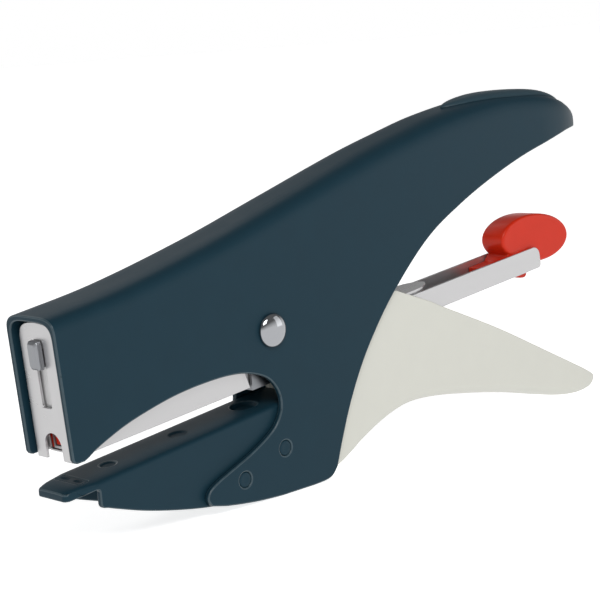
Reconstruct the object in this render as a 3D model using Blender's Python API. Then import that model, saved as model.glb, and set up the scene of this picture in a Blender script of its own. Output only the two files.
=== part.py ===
"""Plier stapler, built piece by piece as it comes apart on a bench.

+X runs from the nose to the handle tips, +Y across, +Z up. The stapler stands on its belly and on the
tail of its lower handle. Sizes are in millimetres, and every mesh maker turns them into metres.
Outlines are drawn with x counted from the front edge of the nose, and place() centres them.
"""

import math

import bmesh
import bpy
from mathutils import Matrix, Vector

MM = 0.001
GAP = 0.3

# Overall sizes
SHELL_WIDTH = 18.5
SHELL_SHEET = 1.4
TIP_END = 195.6
TIP_TAPER = 27.6
HANDLE_END = 196.7
TAIL_NIB = 0.2
HANDLE_TAPER = 15.9
NOSE_LEAN = 3.7
NOSE_FACE_X = 0.34
NOSE_FACE_Z = 49.4
NOSE_BOTTOM = 22.0
NOSE_FRONT = -0.11

BELLY_START = 63.0
BELLY_END = 74.0

# Main pivot
PIVOT_X = 63.2
PIVOT_Z = 41.4
LOBE_R = 8.8
EAR_R = 5.2
SHANK_R = 2.0
BUSH_WALL = 0.7
HEAD_R = 4.2
HEAD_RISE = 1.9

# Sheets and cross widths
HANDLE_SHEET = 1.1
ARM_SHEET = 1.5
EAR_SHEET = 0.7
HEAD_SHEET = 0.8
HEAD_CLEARANCE = 1.15

# Magazine
MAG_TILT = 6.0
MAG_BASE_Z = 22.0
MAG_WALL = 0.6
MAG_HEIGHT = 6.3
MAG_FRONT = 6.1
MAG_REAR = 173.0
LEG_ROOM = 1.35
CORE_WALL = 0.6
CORE_TOP = 4.4
CORE_REAR = 58.0
COVER_REAR = 121.0
COVER_ROUND = 2.5
COVER_SHEET = 0.55
PUSHER_LENGTH = 9.3
PUSHER_SLACK = 0.35
ROD_R = 0.8
ROD_LEVEL = 3.1
PLUG_FRONT = 152.5

# Anvil arm
ARM_FRONT = 1.4
ARM_REAR = 76.0
ARM_BASE_Z = 15.3
ARM_SLOPE = 0.116
SKIRT_X = 9.7
SKIRT_ROUND = 1.2
LIP_HEIGHT = 2.0
ANVIL_X = 7.4
ANVIL_LENGTH = 2.6
ANVIL_HALF = 4.6

# Front plate and driver
PLATE_RECESS = 1.5
SLOT_HALF = 1.8
SLOT_TOP = 1.0
SLOT_BOTTOM = 15.8
CUTOUT_R = 3.2
PLATE_BOTTOM = 27.9
BLADE_SLACK = 0.15
BLADE_THICK = 0.6
BLADE_TOP = 1.0
BLADE_BOTTOM = 19.2
LUG_HALF = 1.9
LUG_TOP = -0.5
LUG_HEIGHT = 7.3
LUG_RIVET_S = 3.5
LUG_RIVET_R = 0.6

# Thumb knob
KNOB_X = 171.7
KNOB_Z = 48.5
KNOB_LONG = 14.8
KNOB_SHORT = 6.9
KNOB_TILT = -4.0
KNOB_HALF = 4.0

# Palm pad
PAD_START = 139.0
PAD_END = 190.0
PAD_HALF = 6.4
PAD_RISE = 1.0

# Fixing rivets of the anvil arm, as (x, z) of each pair
ARM_RIVETS = {"front": (51.2, 6.8), "rear": (64.9, 11.6)}
ARM_RIVET_R = 1.75
LEVER_PINS = {"front": (78.0, 44.0), "rear": (90.0, 43.6)}
LEVER_PIN_R = 1.4
LEVER_HALF = 3.0

# Springs, as coil and wire radius, and the rubber buffer
RETURN_X = 84.0
RETURN_COIL = (3.1, 0.6)
DRIVER_COIL = (2.7, 0.45)
PUSHER_WIRE = 0.2
LATCH_COIL = (0.8, 0.15)
BUFFER_SPAN = (12.0, 22.0)
BUFFER_LOW = 51.6
BUFFER_HALF = 2.6

# Catch under the rail's end
LATCH_PIVOT = (160.6, 2.9)
LATCH_HALF = 1.5
LATCH_PIN_R = 0.7
LATCH_PIN_HALF = 3.3

SHELL_HALF = SHELL_WIDTH / 2
SHELL_INNER = SHELL_HALF - SHELL_SHEET
CHEEK_HALF = SHELL_INNER - GAP
ARM_HALF = SHELL_INNER - GAP
EAR_HALF = CHEEK_HALF - HANDLE_SHEET - GAP
HEAD_HALF = SHELL_INNER - HEAD_CLEARANCE
MAG_HALF = EAR_HALF - EAR_SHEET - GAP
MAG_INNER = MAG_HALF - MAG_WALL
MAG_FLOOR = MAG_WALL + GAP
CORE_HALF = MAG_INNER - LEG_ROOM
PUSHER_HALF = MAG_INNER - PUSHER_SLACK
BLADE_HALF = MAG_INNER - BLADE_SLACK
PLUG_HALF = MAG_INNER - GAP
BUSH_R = SHANK_R + GAP + BUSH_WALL
CENTRE_X = (NOSE_FRONT + HANDLE_END) / 2

for leftover in list(bpy.data.objects):
    bpy.data.objects.remove(leftover, do_unlink=True)


# Curves and frames

def smooth(points, steps=6):
    """A rounded line through the points, with a few steps between each pair of them."""
    rounded = []
    for i in range(len(points) - 1):
        before = points[max(i - 1, 0)]
        start, end = points[i], points[i + 1]
        after = points[min(i + 2, len(points) - 1)]
        for step in range(steps):
            t = step / steps
            rounded.append(tuple(
                0.5 * (2 * b + (c - a) * t + (2 * a - 5 * b + 4 * c - d) * t ** 2
                       + (3 * b - a - 3 * c + d) * t ** 3)
                for a, b, c, d in zip(before, start, end, after)))
    return rounded + [points[-1]]


def height_along(points, x):
    """The height at x of a smooth line through points whose x grows."""
    if x <= points[0][0]:
        return points[0][1]
    if x >= points[-1][0]:
        return points[-1][1]
    i = max(k for k in range(len(points) - 1) if points[k][0] <= x)
    (x0, z0), (x1, z1) = points[i], points[i + 1]
    slope = (z1 - z0) / (x1 - x0)
    slopes = []
    for k in (i, i + 1):
        low, high = points[max(k - 1, 0)], points[min(k + 1, len(points) - 1)]
        slopes.append((high[1] - low[1]) / (high[0] - low[0]))
    t = (x - x0) / (x1 - x0)
    length = x1 - x0
    return (z0 + slope * (x - x0)
            + length * t * (1 - t) * ((slopes[0] - slope) * (1 - t) - (slopes[1] - slope) * t))


def arc(centre, radius, start, end, steps=8):
    """Points on an arc, with its angles in degrees."""
    angles = [math.radians(start + (end - start) * i / steps) for i in range(steps + 1)]
    return [(centre[0] + radius * math.cos(a), centre[1] + radius * math.sin(a)) for a in angles]


def on_magazine(u, v):
    """The (x, z) of a point u along the magazine's floor and v above it."""
    tilt = math.radians(MAG_TILT)
    return (u * math.cos(tilt) - v * math.sin(tilt),
            MAG_BASE_Z + u * math.sin(tilt) + v * math.cos(tilt))


def on_nose(s, r):
    """The (x, z) of a point s down the nose's front face and r behind it."""
    lean = math.radians(NOSE_LEAN)
    return (NOSE_FACE_X + s * math.sin(lean) + r * math.cos(lean),
            NOSE_FACE_Z - s * math.cos(lean) + r * math.sin(lean))


def arm_top(x):
    """The height of the anvil arm's flat top, whose tip bends down a little."""
    return ARM_BASE_Z + ARM_SLOPE * x - 0.05 * max(0.0, 5.0 - x) ** 2


def shell_half(x, inset=0.0):
    """Half the width of the upper handle, which tapers in plan to a rounded tip."""
    t = max(0.0, (x - TIP_END + TIP_TAPER) / (TIP_TAPER - 1.5 * inset))
    return (SHELL_HALF - inset) * max(0.0, 1 - t ** 2.4) ** 0.75


def handle_half(x, inset=0.0):
    """Half the width of the lower handle, which is rounded in plan at its tail."""
    t = max(0.0, (x - HANDLE_END + HANDLE_TAPER) / (HANDLE_TAPER + TAIL_NIB - 1.2 * inset))
    return (CHEEK_HALF - inset) * max(0.0, 1 - t ** 3) ** 0.5


CROWN = [(-2, 54.8), (22, 58.6), (50, 65.2), (75, 72.4), (103, 80.5), (118, 84.2), (132, 87.3),
         (151, 89.9), (163.5, 90.2), (175, 89.4), (183, 87.6), (189, 85.2), (193, 82.9),
         (TIP_END, 80.0)]
ARCH = [(-2, 5.2), (50, 6.5), (100, 8.5), (150, 11.0), (175, 10.5), (189, 7.0), (TIP_END, 2.5)]
TROUGH = [(60, 0.4), (80, 0.4), (84, 0.7), (89, 3.0), (94.5, 6.0), (103, 9.6), (112, 11.8),
          (122.5, 11.7), (136.5, 9.8), (154, 6.5), (170, 2.6), (178, 0.8), (184, 0.0),
          (190, 0.1), (194, 0.9), (HANDLE_END, 2.6)]
HANDLE_TOP = [(72, 50.2), (85, 50.0), (100, 46.8), (120, 39.4), (127, 36.3), (149.5, 26.3),
              (170.7, 15.7), (191, 5.6), (HANDLE_END, 3.2)]


def crown_surface(x, y):
    """The height of the upper handle's back at x and y."""
    half = shell_half(x)
    share = min(1.0, abs(y) / half)
    return height_along(CROWN, x) - height_along(ARCH, x) * (1 - (1 - share ** 3) ** (1 / 3))


# Mesh makers

def place(x, y, z):
    return Vector(((x - CENTRE_X) * MM, y * MM, z * MM))


def new_object(name, mesh, material=None):
    obj = bpy.data.objects.new(name, mesh)
    bpy.context.scene.collection.objects.link(obj)
    if material:
        mesh.materials.append(material)
    return obj


def rings_to_mesh(name, rings, closed=False):
    """Joins rings of equal length into a tube. Its ends are capped unless it closes on itself."""
    bm = bmesh.new()
    rows = [[bm.verts.new(place(*point)) for point in ring] for ring in rings]
    count = len(rows[0])
    pairs = list(zip(rows, rows[1:])) + ([(rows[-1], rows[0])] if closed else [])
    for first, second in pairs:
        for i in range(count):
            j = (i + 1) % count
            bm.faces.new((first[i], first[j], second[j], second[i]))
    if not closed:
        bm.faces.new(rows[0])
        bm.faces.new(rows[-1])
    bmesh.ops.recalc_face_normals(bm, faces=bm.faces[:])
    mesh = bpy.data.meshes.new(name)
    bm.to_mesh(mesh)
    bm.free()
    return mesh


def prism(name, outline, y_low, y_high, material=None):
    """An outline in x and z, pulled across from y_low to y_high."""
    rings = [[(x, y, z) for x, z in outline] for y in (y_low, y_high)]
    return new_object(name, rings_to_mesh(name, rings), material)


def frontal(name, outline, r_low, r_high, material=None):
    """An outline in y and s on the nose's face, pulled from r_low to r_high behind it."""
    rings = []
    for r in (r_low, r_high):
        ring = []
        for y, s in outline:
            x, z = on_nose(s, r)
            ring.append((x, y, z))
        rings.append(ring)
    return new_object(name, rings_to_mesh(name, rings), material)


def turned(name, profile, x, z, material=None, sides=32):
    """A round piece on a crossways axis through x and z, from a profile of (y, radius)."""
    rings = [[(x + radius * math.cos(2 * math.pi * i / sides), y,
               z + radius * math.sin(2 * math.pi * i / sides)) for i in range(sides)]
             for y, radius in profile]
    return new_object(name, rings_to_mesh(name, rings), material)


def rod_along(name, start, end, radius, material=None, sides=16):
    """A round bar between two (x, y, z) points."""
    a, b = Vector(start), Vector(end)
    turn = (b - a).to_track_quat("Z", "Y").to_matrix()
    rings = [[tuple(p + turn @ Vector((radius * math.cos(2 * math.pi * i / sides),
                                       radius * math.sin(2 * math.pi * i / sides), 0)))
              for i in range(sides)] for p in (a, b)]
    return new_object(name, rings_to_mesh(name, rings), material)


def coil(name, start, end, radius, wire, turns, material=None, sides=6, per_turn=14):
    """A coil spring of round wire between two (x, y, z) points."""
    a, b = Vector(start), Vector(end)
    turn = (b - a).to_track_quat("Z", "Y").to_matrix()
    length = (b - a).length
    total = int(turns * per_turn)
    rings = []
    for k in range(total + 1):
        angle = 2 * math.pi * turns * k / total
        out = Vector((math.cos(angle), math.sin(angle), 0))
        middle = out * radius + Vector((0, 0, wire + (length - 2 * wire) * k / total))
        ring = []
        for i in range(sides):
            around = 2 * math.pi * i / sides
            ring.append(tuple(a + turn @ (middle + wire * (out * math.cos(around)
                                                         + Vector((0, 0, math.sin(around)))))))
        rings.append(ring)
    return new_object(name, rings_to_mesh(name, rings), material)


def folded_sheet(name, stations, half, apex, arch, power, side, reach, material=None, steps=9):
    """A solid whose cross-sections are a folded sheet's outside: upright walls and a domed fold.

    half(x), apex(x) and arch(x) give each section's half width, fold height and dome height. side is
    1 where the fold is on top and -1 where it is below, and reach is the height of the open side."""
    rings = []
    for x in stations:
        ring = [(x, -half(x), reach)]
        for k in range(2 * steps + 1):
            turn = math.pi * (1 - k / (2 * steps))
            across = math.copysign(abs(math.cos(turn)) ** (2 / power), math.cos(turn))
            up = math.sin(turn) ** (2 / power)
            ring.append((x, half(x) * across, apex(x) - side * arch(x) * (1 - up)))
        ring.append((x, half(x), reach))
        rings.append(ring)
    return new_object(name, rings_to_mesh(name, rings), material)


def combine(target, other, operation="DIFFERENCE"):
    """A Boolean on the target. The other object becomes a hidden helper."""
    other.hide_render = True
    other.display_type = "WIRE"
    modifier = target.modifiers.new(other.name, "BOOLEAN")
    modifier.operation = operation
    modifier.object = other
    modifier.solver = "EXACT"
    return target


def drill(target, x, z, radius, y_low=-20.0, y_high=20.0, sides=24):
    """A crossways round hole."""
    cutter = turned(target.name + "_drill", [(y_low, radius), (y_high, radius)], x, z, sides=sides)
    return combine(target, cutter)


def smooth_shade(obj, angle=40):
    obj.data.shade_smooth()
    obj.data.set_sharp_from_angle(angle=math.radians(angle))
    return obj


def principled(name, colour, roughness, metallic=0.0):
    material = bpy.data.materials.new(name)
    material.use_nodes = True
    shader = material.node_tree.nodes["Principled BSDF"]
    shader.inputs["Base Color"].default_value = (*colour, 1)
    shader.inputs["Roughness"].default_value = roughness
    shader.inputs["Metallic"].default_value = metallic
    material.diffuse_color = (*colour, 1)
    return material


SLATE = principled("slate_paint", (0.028, 0.052, 0.068), 0.42)
SLATE_PAD = principled("slate_pad", (0.045, 0.066, 0.08), 0.6)
CREAM = principled("cream_paint", (0.68, 0.68, 0.62), 0.45)
NICKEL = principled("nickel_plate", (0.72, 0.72, 0.72), 0.25, 1.0)
CHROME = principled("chrome", (0.8, 0.8, 0.81), 0.12, 1.0)
STEEL = principled("dark_steel", (0.32, 0.33, 0.35), 0.35, 1.0)
RED = principled("red_plastic", (0.65, 0.055, 0.035), 0.3)
BLACK = principled("black_rubber", (0.02, 0.02, 0.022), 0.8)


# Bodies: each empty stands on its joint's axis and carries the pieces that move with it

def body(name, x, z, parent=None):
    empty = bpy.data.objects.new(name, None)
    bpy.context.scene.collection.objects.link(empty)
    empty.location = place(x, 0, z)
    if parent:
        empty.parent = parent
        empty.location = empty.location - place(*parent["at"])
    empty["at"] = (x, 0.0, z)
    return empty


def carry(empty, *pieces):
    """Parents the pieces to the body's empty and moves each one's origin there."""
    shift = place(*empty["at"])
    for piece in pieces:
        piece.data.transform(Matrix.Translation(-shift))
        piece.parent = empty
        for modifier in piece.modifiers:
            modifier.object.parent = empty
            modifier.object.data.transform(Matrix.Translation(-shift))


FRAME = body("frame_body", CENTRE_X, 0)
HANDLE = body("handle_body", PIVOT_X, PIVOT_Z)
MAGAZINE = body("magazine_body", PIVOT_X, PIVOT_Z)
DRIVER = body("driver_body", *on_nose(LUG_TOP, PLATE_RECESS), MAGAZINE)
LOADER = body("loader_body", *on_magazine(MAG_REAR, 0), MAGAZINE)
PUSHER = body("pusher_body", *on_magazine(MAG_FRONT, ROD_LEVEL), LOADER)
LATCH = body("latch_body", *on_magazine(*LATCH_PIVOT), LOADER)


# Frame: shell, palm pad, anvil arm and what fastens them

def shell_outline():
    """The side plates' outline: nose edge, throat, lobe, belly and the long rear edge."""
    nose_top = on_nose(-60, 0)
    nose_low = on_nose((NOSE_FACE_Z - NOSE_BOTTOM) - 1.0, 0)
    throat = smooth([(6.4, NOSE_BOTTOM + 0.7), (9.5, 24.5), (17.0, 27.6), (24.6, 29.8), (32.3, 31.5),
                     (40.1, 32.5), (48.1, 32.9), (54.6, 32.3), (60.2, 30.3), (63.3, 27.3),
                     (64.6, 23.7), (64.0, 20.3), (61.3, 16.9), (55.0, 13.3), (48.2, 10.5),
                     (43.4, 8.6), (40.2, 6.8), (39.2, 4.8), (40.2, 2.9)], 3)
    belly = smooth([(44.9, 1.8), (50.0, 1.05), (56.0, 0.4), (BELLY_START, 0.0)], 3)
    belly += smooth([(BELLY_END, 0.0), (78.0, 0.25), (80.4, 1.0), (82.2, 2.9)], 3)
    rear = smooth([(84.4, 8.8), (87.9, 17.1), (92.7, 26.0), (98.0, 33.6), (105.2, 42.0),
                   (115.2, 51.3), (123.5, 57.4), (133.2, 62.4), (144.4, 67.2), (158.4, 72.1),
                   (170.6, 75.4), (184.5, 78.2), (TIP_END + 1, 78.4)], 3)
    return ([nose_top, nose_low, (on_nose(NOSE_FACE_Z - NOSE_BOTTOM, 0)[0] + 1.2, NOSE_BOTTOM)]
            + throat + belly + rear + [(TIP_END + 4, 78.6), (TIP_END + 4, 110)])


def stations(low, high, step, extra=()):
    count = max(2, round((high - low) / step))
    return sorted([low + (high - low) * i / count for i in range(count + 1)] + list(extra))


def body_shell():
    near_tip = [TIP_END - back for back in (0.25, 0.8, 1.8, 3.0)]
    shell = folded_sheet("body_shell", stations(-2, TIP_END - 4.5, 11, near_tip), shell_half,
                         lambda x: height_along(CROWN, x), lambda x: height_along(ARCH, x),
                         3, 1, -10, SLATE, 7)
    hollow = folded_sheet(
        "shell_hollow", stations(-6, TIP_END - 6, 12, (TIP_END - 4.5, TIP_END - 3.6)),
        lambda x: shell_half(x, SHELL_SHEET),
        lambda x: height_along(CROWN, x) - SHELL_SHEET, lambda x: height_along(ARCH, x), 3, 1, -14,
        steps=5)
    outline = prism("shell_profile", shell_outline(), -20, 20)
    combine(shell, outline, "INTERSECT")
    combine(shell, hollow)
    drill(shell, PIVOT_X, PIVOT_Z, SHANK_R + GAP)
    for x, z in ARM_RIVETS.values():
        drill(shell, x, z, ARM_RIVET_R + GAP, sides=16)
    return smooth_shade(shell)


def palm_pad():
    """A lens-shaped pad that follows the back of the handle tip."""
    rings = []
    middle, length = (PAD_START + PAD_END) / 2, (PAD_END - PAD_START) / 2
    for k in range(13):
        share = -0.985 + 1.97 * k / 12
        x = middle + length * share
        half = PAD_HALF * (1 - abs(share) ** 2.2) ** 0.7
        ring = []
        for i in range(9):
            y = -half + 2 * half * i / 8
            ring.append((x, y, crown_surface(x, y) + GAP))
        for i in range(9):
            y = half - 2 * half * i / 8
            rise = PAD_RISE * (1 - 0.75 * (abs(y) / half) ** 4) * (1 - 0.7 * abs(share) ** 6)
            ring.append((x, y, crown_surface(x, y) + GAP + rise))
        rings.append(ring)
    return smooth_shade(new_object("palm_pad", rings_to_mesh("palm_pad", rings), SLATE_PAD))


def anvil_arm():
    def half(x):
        return ARM_HALF - 2.0 * max(0.0, min(1.0, (9.5 - x) / (9.5 - ARM_FRONT)))

    places = stations(ARM_FRONT - 0.01, 9.5, 2.2) + stations(20, ARM_REAR, 14)
    arm = folded_sheet("anvil_arm", places, half, arm_top, lambda x: 2.2, 6, 1, -10, SLATE, steps=6)
    hollow = folded_sheet("arm_hollow", [ARM_FRONT + 1.4, 9.5, ARM_REAR + 5],
                          lambda x: half(x) - ARM_SHEET,
                          lambda x: arm_top(x) - ARM_SHEET, lambda x: 1.6, 6, 1, -14, steps=6)
    belly = smooth([(11.6, 9.6), (14.5, 8.6), (22.2, 6.2), (31.5, 4.0), (41.1, 2.3), (52.0, 1.3),
                    (62.0, 1.0), (72.0, 1.0)], 3)
    outline = prism("arm_profile", [
        (ARM_FRONT - 2, 30), (ARM_FRONT - 2, 12.9), (ARM_FRONT + 1.2, 12.95),
        (SKIRT_X - 0.3, arm_top(SKIRT_X) - LIP_HEIGHT), (SKIRT_X, arm_top(SKIRT_X) - LIP_HEIGHT - 0.3)]
        + arc((SKIRT_X + SKIRT_ROUND, 10.95), SKIRT_ROUND, 180, 250, 4) + belly
        + [(74.5, 2.0), (ARM_REAR, 4.5), (ARM_REAR, 12), (69.0, 40)], -20, 20)
    combine(arm, outline, "INTERSECT")
    combine(arm, hollow)
    for x, z in ARM_RIVETS.values():
        drill(arm, x, z, ARM_RIVET_R + GAP, sides=16)
    window = prism("anvil_window", [(ANVIL_X - ANVIL_LENGTH / 2 - GAP, 10),
                                    (ANVIL_X + ANVIL_LENGTH / 2 + GAP, 10),
                                    (ANVIL_X + ANVIL_LENGTH / 2 + GAP, 20),
                                    (ANVIL_X - ANVIL_LENGTH / 2 - GAP, 20)],
                   -ANVIL_HALF - GAP, ANVIL_HALF + GAP)
    combine(arm, window)
    for x, radius, depth in ((17.8, 1.9, 0.5), (38.9, 2.3, 0.5), (60.2, 3.2, 0.9)):
        combine(arm, rod_along(f"arm_dimple_{round(x)}", (x, 0, arm_top(x) + 3),
                               (x, 0, arm_top(x) - depth), radius, sides=20))
    return smooth_shade(arm, 30)


def anvil_plate():
    """A hardened insert that curls the staple's legs in two grooves."""
    x0, x1 = ANVIL_X - ANVIL_LENGTH / 2, ANVIL_X + ANVIL_LENGTH / 2
    outline = [(x0, arm_top(x0) - ARM_SHEET), (x1, arm_top(x1) - ARM_SHEET),
               (x1, arm_top(x1)), (x0, arm_top(x0))]
    plate = prism("anvil_plate", outline, -ANVIL_HALF, ANVIL_HALF, SLATE)
    for side in (-1, 1):
        groove = rod_along(f"clinch_groove_{side + 1}", (ANVIL_X, side * 0.6, arm_top(ANVIL_X) + 0.7),
                           (ANVIL_X, side * 4.2, arm_top(ANVIL_X) + 0.4), 0.9, sides=12)
        combine(plate, groove)
    return plate


def main_rivet():
    dome = [(SHELL_HALF + GAP + HEAD_RISE * math.sin(a), max(0.05, HEAD_R * math.cos(a)))
            for a in (math.radians(18 * k) for k in range(1, 6))]
    right = [(SHELL_HALF + GAP, SHANK_R), (SHELL_HALF + GAP, HEAD_R)] + dome
    left = [(-y, r) for y, r in reversed(right)]
    return smooth_shade(turned("main_rivet", left + right, PIVOT_X, PIVOT_Z, CHROME, 24), 50)


def pivot_bush():
    length = EAR_HALF - EAR_SHEET - GAP
    outer, inner = BUSH_R, SHANK_R + GAP
    rings = [(-length, outer), (length, outer), (length, inner), (-length, inner)]
    sides = 28
    loops = [[(PIVOT_X + r * math.cos(2 * math.pi * i / sides), y,
               PIVOT_Z + r * math.sin(2 * math.pi * i / sides)) for i in range(sides)]
             for y, r in rings]
    return smooth_shade(new_object("pivot_bush", rings_to_mesh("pivot_bush", loops, True), STEEL))


def arm_rivets():
    pieces = []
    for end, (x, z) in ARM_RIVETS.items():
        for side, label in ((-1, "left"), (1, "right")):
            y0, y1 = ARM_HALF - ARM_SHEET, SHELL_HALF - 0.25
            profile = [(side * y0, ARM_RIVET_R), (side * y1, ARM_RIVET_R)]
            pieces.append(smooth_shade(turned(f"arm_rivet_{end}_{label}", profile, x, z, SLATE, 16)))
    return pieces


def stop_buffer():
    """A rubber block under the crown that the drive lever rests against when the handles are open."""
    front, rear = BUFFER_SPAN
    outline = [(front, BUFFER_LOW), (rear, BUFFER_LOW),
               (rear, height_along(CROWN, rear) - SHELL_SHEET - GAP),
               (front, height_along(CROWN, front) - SHELL_SHEET - GAP)]
    return prism("stop_buffer", outline, -BUFFER_HALF, BUFFER_HALF, BLACK)


def return_spring():
    """The strong coil between the crown and the drive lever's tail, which opens the handles."""
    top = height_along(CROWN, RETURN_X - 4) - SHELL_SHEET - 2 * GAP
    return smooth_shade(coil("return_spring", (RETURN_X, 0, 47.4), (RETURN_X, 0, top), *RETURN_COIL, 7, STEEL,
                             sides=5, per_turn=11), 60)


# Handle: cream lever, steel drive lever and its pins

def lower_handle():
    near_end = [HANDLE_END - back for back in (0.0, 0.7, 2.0, 4.0)]
    handle = folded_sheet("lower_handle", stations(48, HANDLE_END - 6, 9, near_end), handle_half,
                          lambda x: height_along(TROUGH, x), lambda x: 3.4, 2.6, -1, 70, CREAM, 6)
    hollow = folded_sheet("handle_hollow", stations(44, HANDLE_END - 6, 12, (HANDLE_END - 3.5,)),
                          lambda x: handle_half(x, HANDLE_SHEET),
                          lambda x: height_along(TROUGH, x) + HANDLE_SHEET, lambda x: 3.0, 2.6, -1, 74,
                          steps=4)
    top = smooth(HANDLE_TOP, 3)
    lobe = arc((PIVOT_X, PIVOT_Z), LOBE_R, 80, 250, 12)
    front = smooth([(68.5, 30.5), (74.0, 24.0), (78.5, 16.0), (80.0, 8.0), (81.2, 3.0), (82.2, -3.0)], 3)
    outline = prism("handle_profile", list(reversed(top)) + lobe + front
                    + [(100, -3), (HANDLE_END + 3, -3)], -20, 20)
    combine(handle, outline, "INTERSECT")
    combine(handle, hollow)
    drill(handle, PIVOT_X, PIVOT_Z, SHANK_R + GAP)
    for x, z in LEVER_PINS.values():
        drill(handle, x, z, LEVER_PIN_R + GAP, sides=16)
    return smooth_shade(handle, 30)


def drive_lever():
    tip = [on_nose(BLADE_TOP - 0.5, r) for r in (4.0, 9.2)]
    outline = (tip + smooth([(13.0, 46.7), (30.0, 43.2), (48.0, 38.6), (56.0, 36.4)], 3)
               + arc((PIVOT_X, PIVOT_Z), 6.0, 225, 292, 5)
               + [(72.0, 38.9), (94.0, 40.4), (95.5, 42.0), (95.5, 45.4), (94.0, 46.6), (74.0, 47.1)]
               + arc((PIVOT_X, PIVOT_Z), 7.4, 60, 115, 5)
               + smooth([(48.0, 49.2), (30.0, 50.9), (12.0, 51.2), (5.2, 51.4), (4.3, 50.6)], 3))
    lever = prism("drive_lever", outline, -LEVER_HALF, LEVER_HALF, STEEL)
    drill(lever, PIVOT_X, PIVOT_Z, BUSH_R + GAP)
    for x, z in LEVER_PINS.values():
        drill(lever, x, z, LEVER_PIN_R + GAP, sides=16)
    return smooth_shade(lever)


def lever_pins():
    pieces = []
    for end, (x, z) in LEVER_PINS.items():
        profile = [(-CHEEK_HALF, LEVER_PIN_R), (CHEEK_HALF, LEVER_PIN_R)]
        pieces.append(smooth_shade(turned(f"lever_pin_{end}", profile, x, z, STEEL, 16)))
    return pieces


def driver_spring():
    """The coil that holds the lever's front clear of the magazine until the jaw has closed."""
    x, low = on_magazine(33.0, MAG_HEIGHT)
    return smooth_shade(coil("driver_spring", (x, 0, low + GAP), (x, 0, 41.9), *DRIVER_COIL, 5, STEEL,
                             sides=5, per_turn=10), 60)


# Magazine: front head, channel, core, cover and the bracket that hangs it on the main rivet

def front_head():
    fold_inside = NOSE_FACE_Z - height_along(CROWN, PLATE_RECESS) + SHELL_SHEET
    top = [(HEAD_HALF * share, fold_inside + drop) for share, drop in
           ((1.0, 3.9), (0.88, 2.1), (0.627, 1.0), (0.313, 0.6), (0.0, 0.45))]
    outline = ([(HEAD_HALF, PLATE_BOTTOM)] + top + [(-y, s) for y, s in reversed(top[:-1])]
               + [(-HEAD_HALF, PLATE_BOTTOM), (-CUTOUT_R, PLATE_BOTTOM)]
               + [(-y, s) for y, s in arc((0, PLATE_BOTTOM - 3.0), CUTOUT_R, 0, -180, 10)]
               + [(CUTOUT_R, PLATE_BOTTOM)])
    head = frontal("front_head", outline, PLATE_RECESS, PLATE_RECESS + HEAD_SHEET, NICKEL)
    slot = frontal("driver_slot", [(-SLOT_HALF, SLOT_TOP), (SLOT_HALF, SLOT_TOP)]
                   + [(SLOT_HALF, SLOT_BOTTOM), (-SLOT_HALF, SLOT_BOTTOM)], 0, 6)
    combine(head, slot)
    for side, label in ((-1, "left"), (1, "right")):
        wing = ([on_nose(0, PLATE_RECESS + 0.1), on_nose(PLATE_BOTTOM - 0.8, PLATE_RECESS + 0.1),
                 on_magazine(6.5, 0), on_magazine(57.6, 0), on_magazine(56.4, 5.0),
                 on_magazine(54.6, 7.6), on_magazine(18.0, 7.6)]
                + [on_magazine(11.5, 9.5), on_magazine(9.0, 14.0), on_magazine(9.5, 26.0)])
        low, high = sorted((side * (HEAD_HALF - HEAD_SHEET), side * HEAD_HALF))
        combine(head, prism(f"head_wing_{label}", wing, low, high), "UNION")
    return smooth_shade(head, 30)


def magazine_channel():
    corner = arc((MAG_REAR - 2.6, MAG_HEIGHT - 2.6), 2.6, 90, 0, 5)
    foot = arc((MAG_REAR - 1.0, 1.0), 1.0, 0, -90, 3)
    side = [on_magazine(u, v) for u, v in
            [(MAG_FRONT, 0), (MAG_FRONT, MAG_HEIGHT)] + corner + foot]
    channel = prism("magazine_channel", side, -MAG_HALF, MAG_HALF, NICKEL)
    hollow = prism("channel_hollow", [on_magazine(u, v) for u, v in
                                      ((-5, MAG_WALL), (-5, 20), (190, 20), (190, MAG_WALL))],
                   -MAG_INNER, MAG_INNER)
    combine(channel, hollow)
    window = prism("latch_window", [on_magazine(u, v) for u, v in
                                    ((158.0, -3), (158.0, 3), (190, 3), (190, -3))],
                   -LATCH_HALF - 2 * GAP, LATCH_HALF + 2 * GAP)
    combine(channel, window)
    return channel


def staple_core():
    """The inner rail that the staples straddle."""
    core = prism("staple_core", [on_magazine(u, v) for u, v in
                                 ((MAG_FRONT, MAG_FLOOR), (MAG_FRONT, CORE_TOP), (CORE_REAR, CORE_TOP),
                                  (CORE_REAR, MAG_FLOOR))],
                 -CORE_HALF, CORE_HALF, NICKEL)
    floor = MAG_FLOOR + CORE_WALL
    inner = CORE_HALF - CORE_WALL
    combine(core, prism("core_hollow", [on_magazine(u, v) for u, v in
                                        ((0, floor), (0, 9), (70, 9), (70, floor))],
                        -inner, inner))
    return core


def magazine_cover():
    """The lid that keeps the staples down, level with the channel's walls and rounded at the rear."""
    half, corner = PLUG_HALF, COVER_REAR - COVER_ROUND
    plan = [(MAG_FRONT + 1, -half), (corner, -half)]
    plan += arc((corner, -half + COVER_ROUND), COVER_ROUND, -90, 0, 5)[1:]
    plan += arc((corner, half - COVER_ROUND), COVER_ROUND, 0, 90, 5) + [(MAG_FRONT + 1, half)]
    rings = []
    for v in (MAG_HEIGHT - COVER_SHEET, MAG_HEIGHT):
        rings.append([(on_magazine(u, v)[0], y, on_magazine(u, v)[1]) for u, y in plan])
    return new_object("magazine_cover", rings_to_mesh("magazine_cover", rings), NICKEL)


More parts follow.
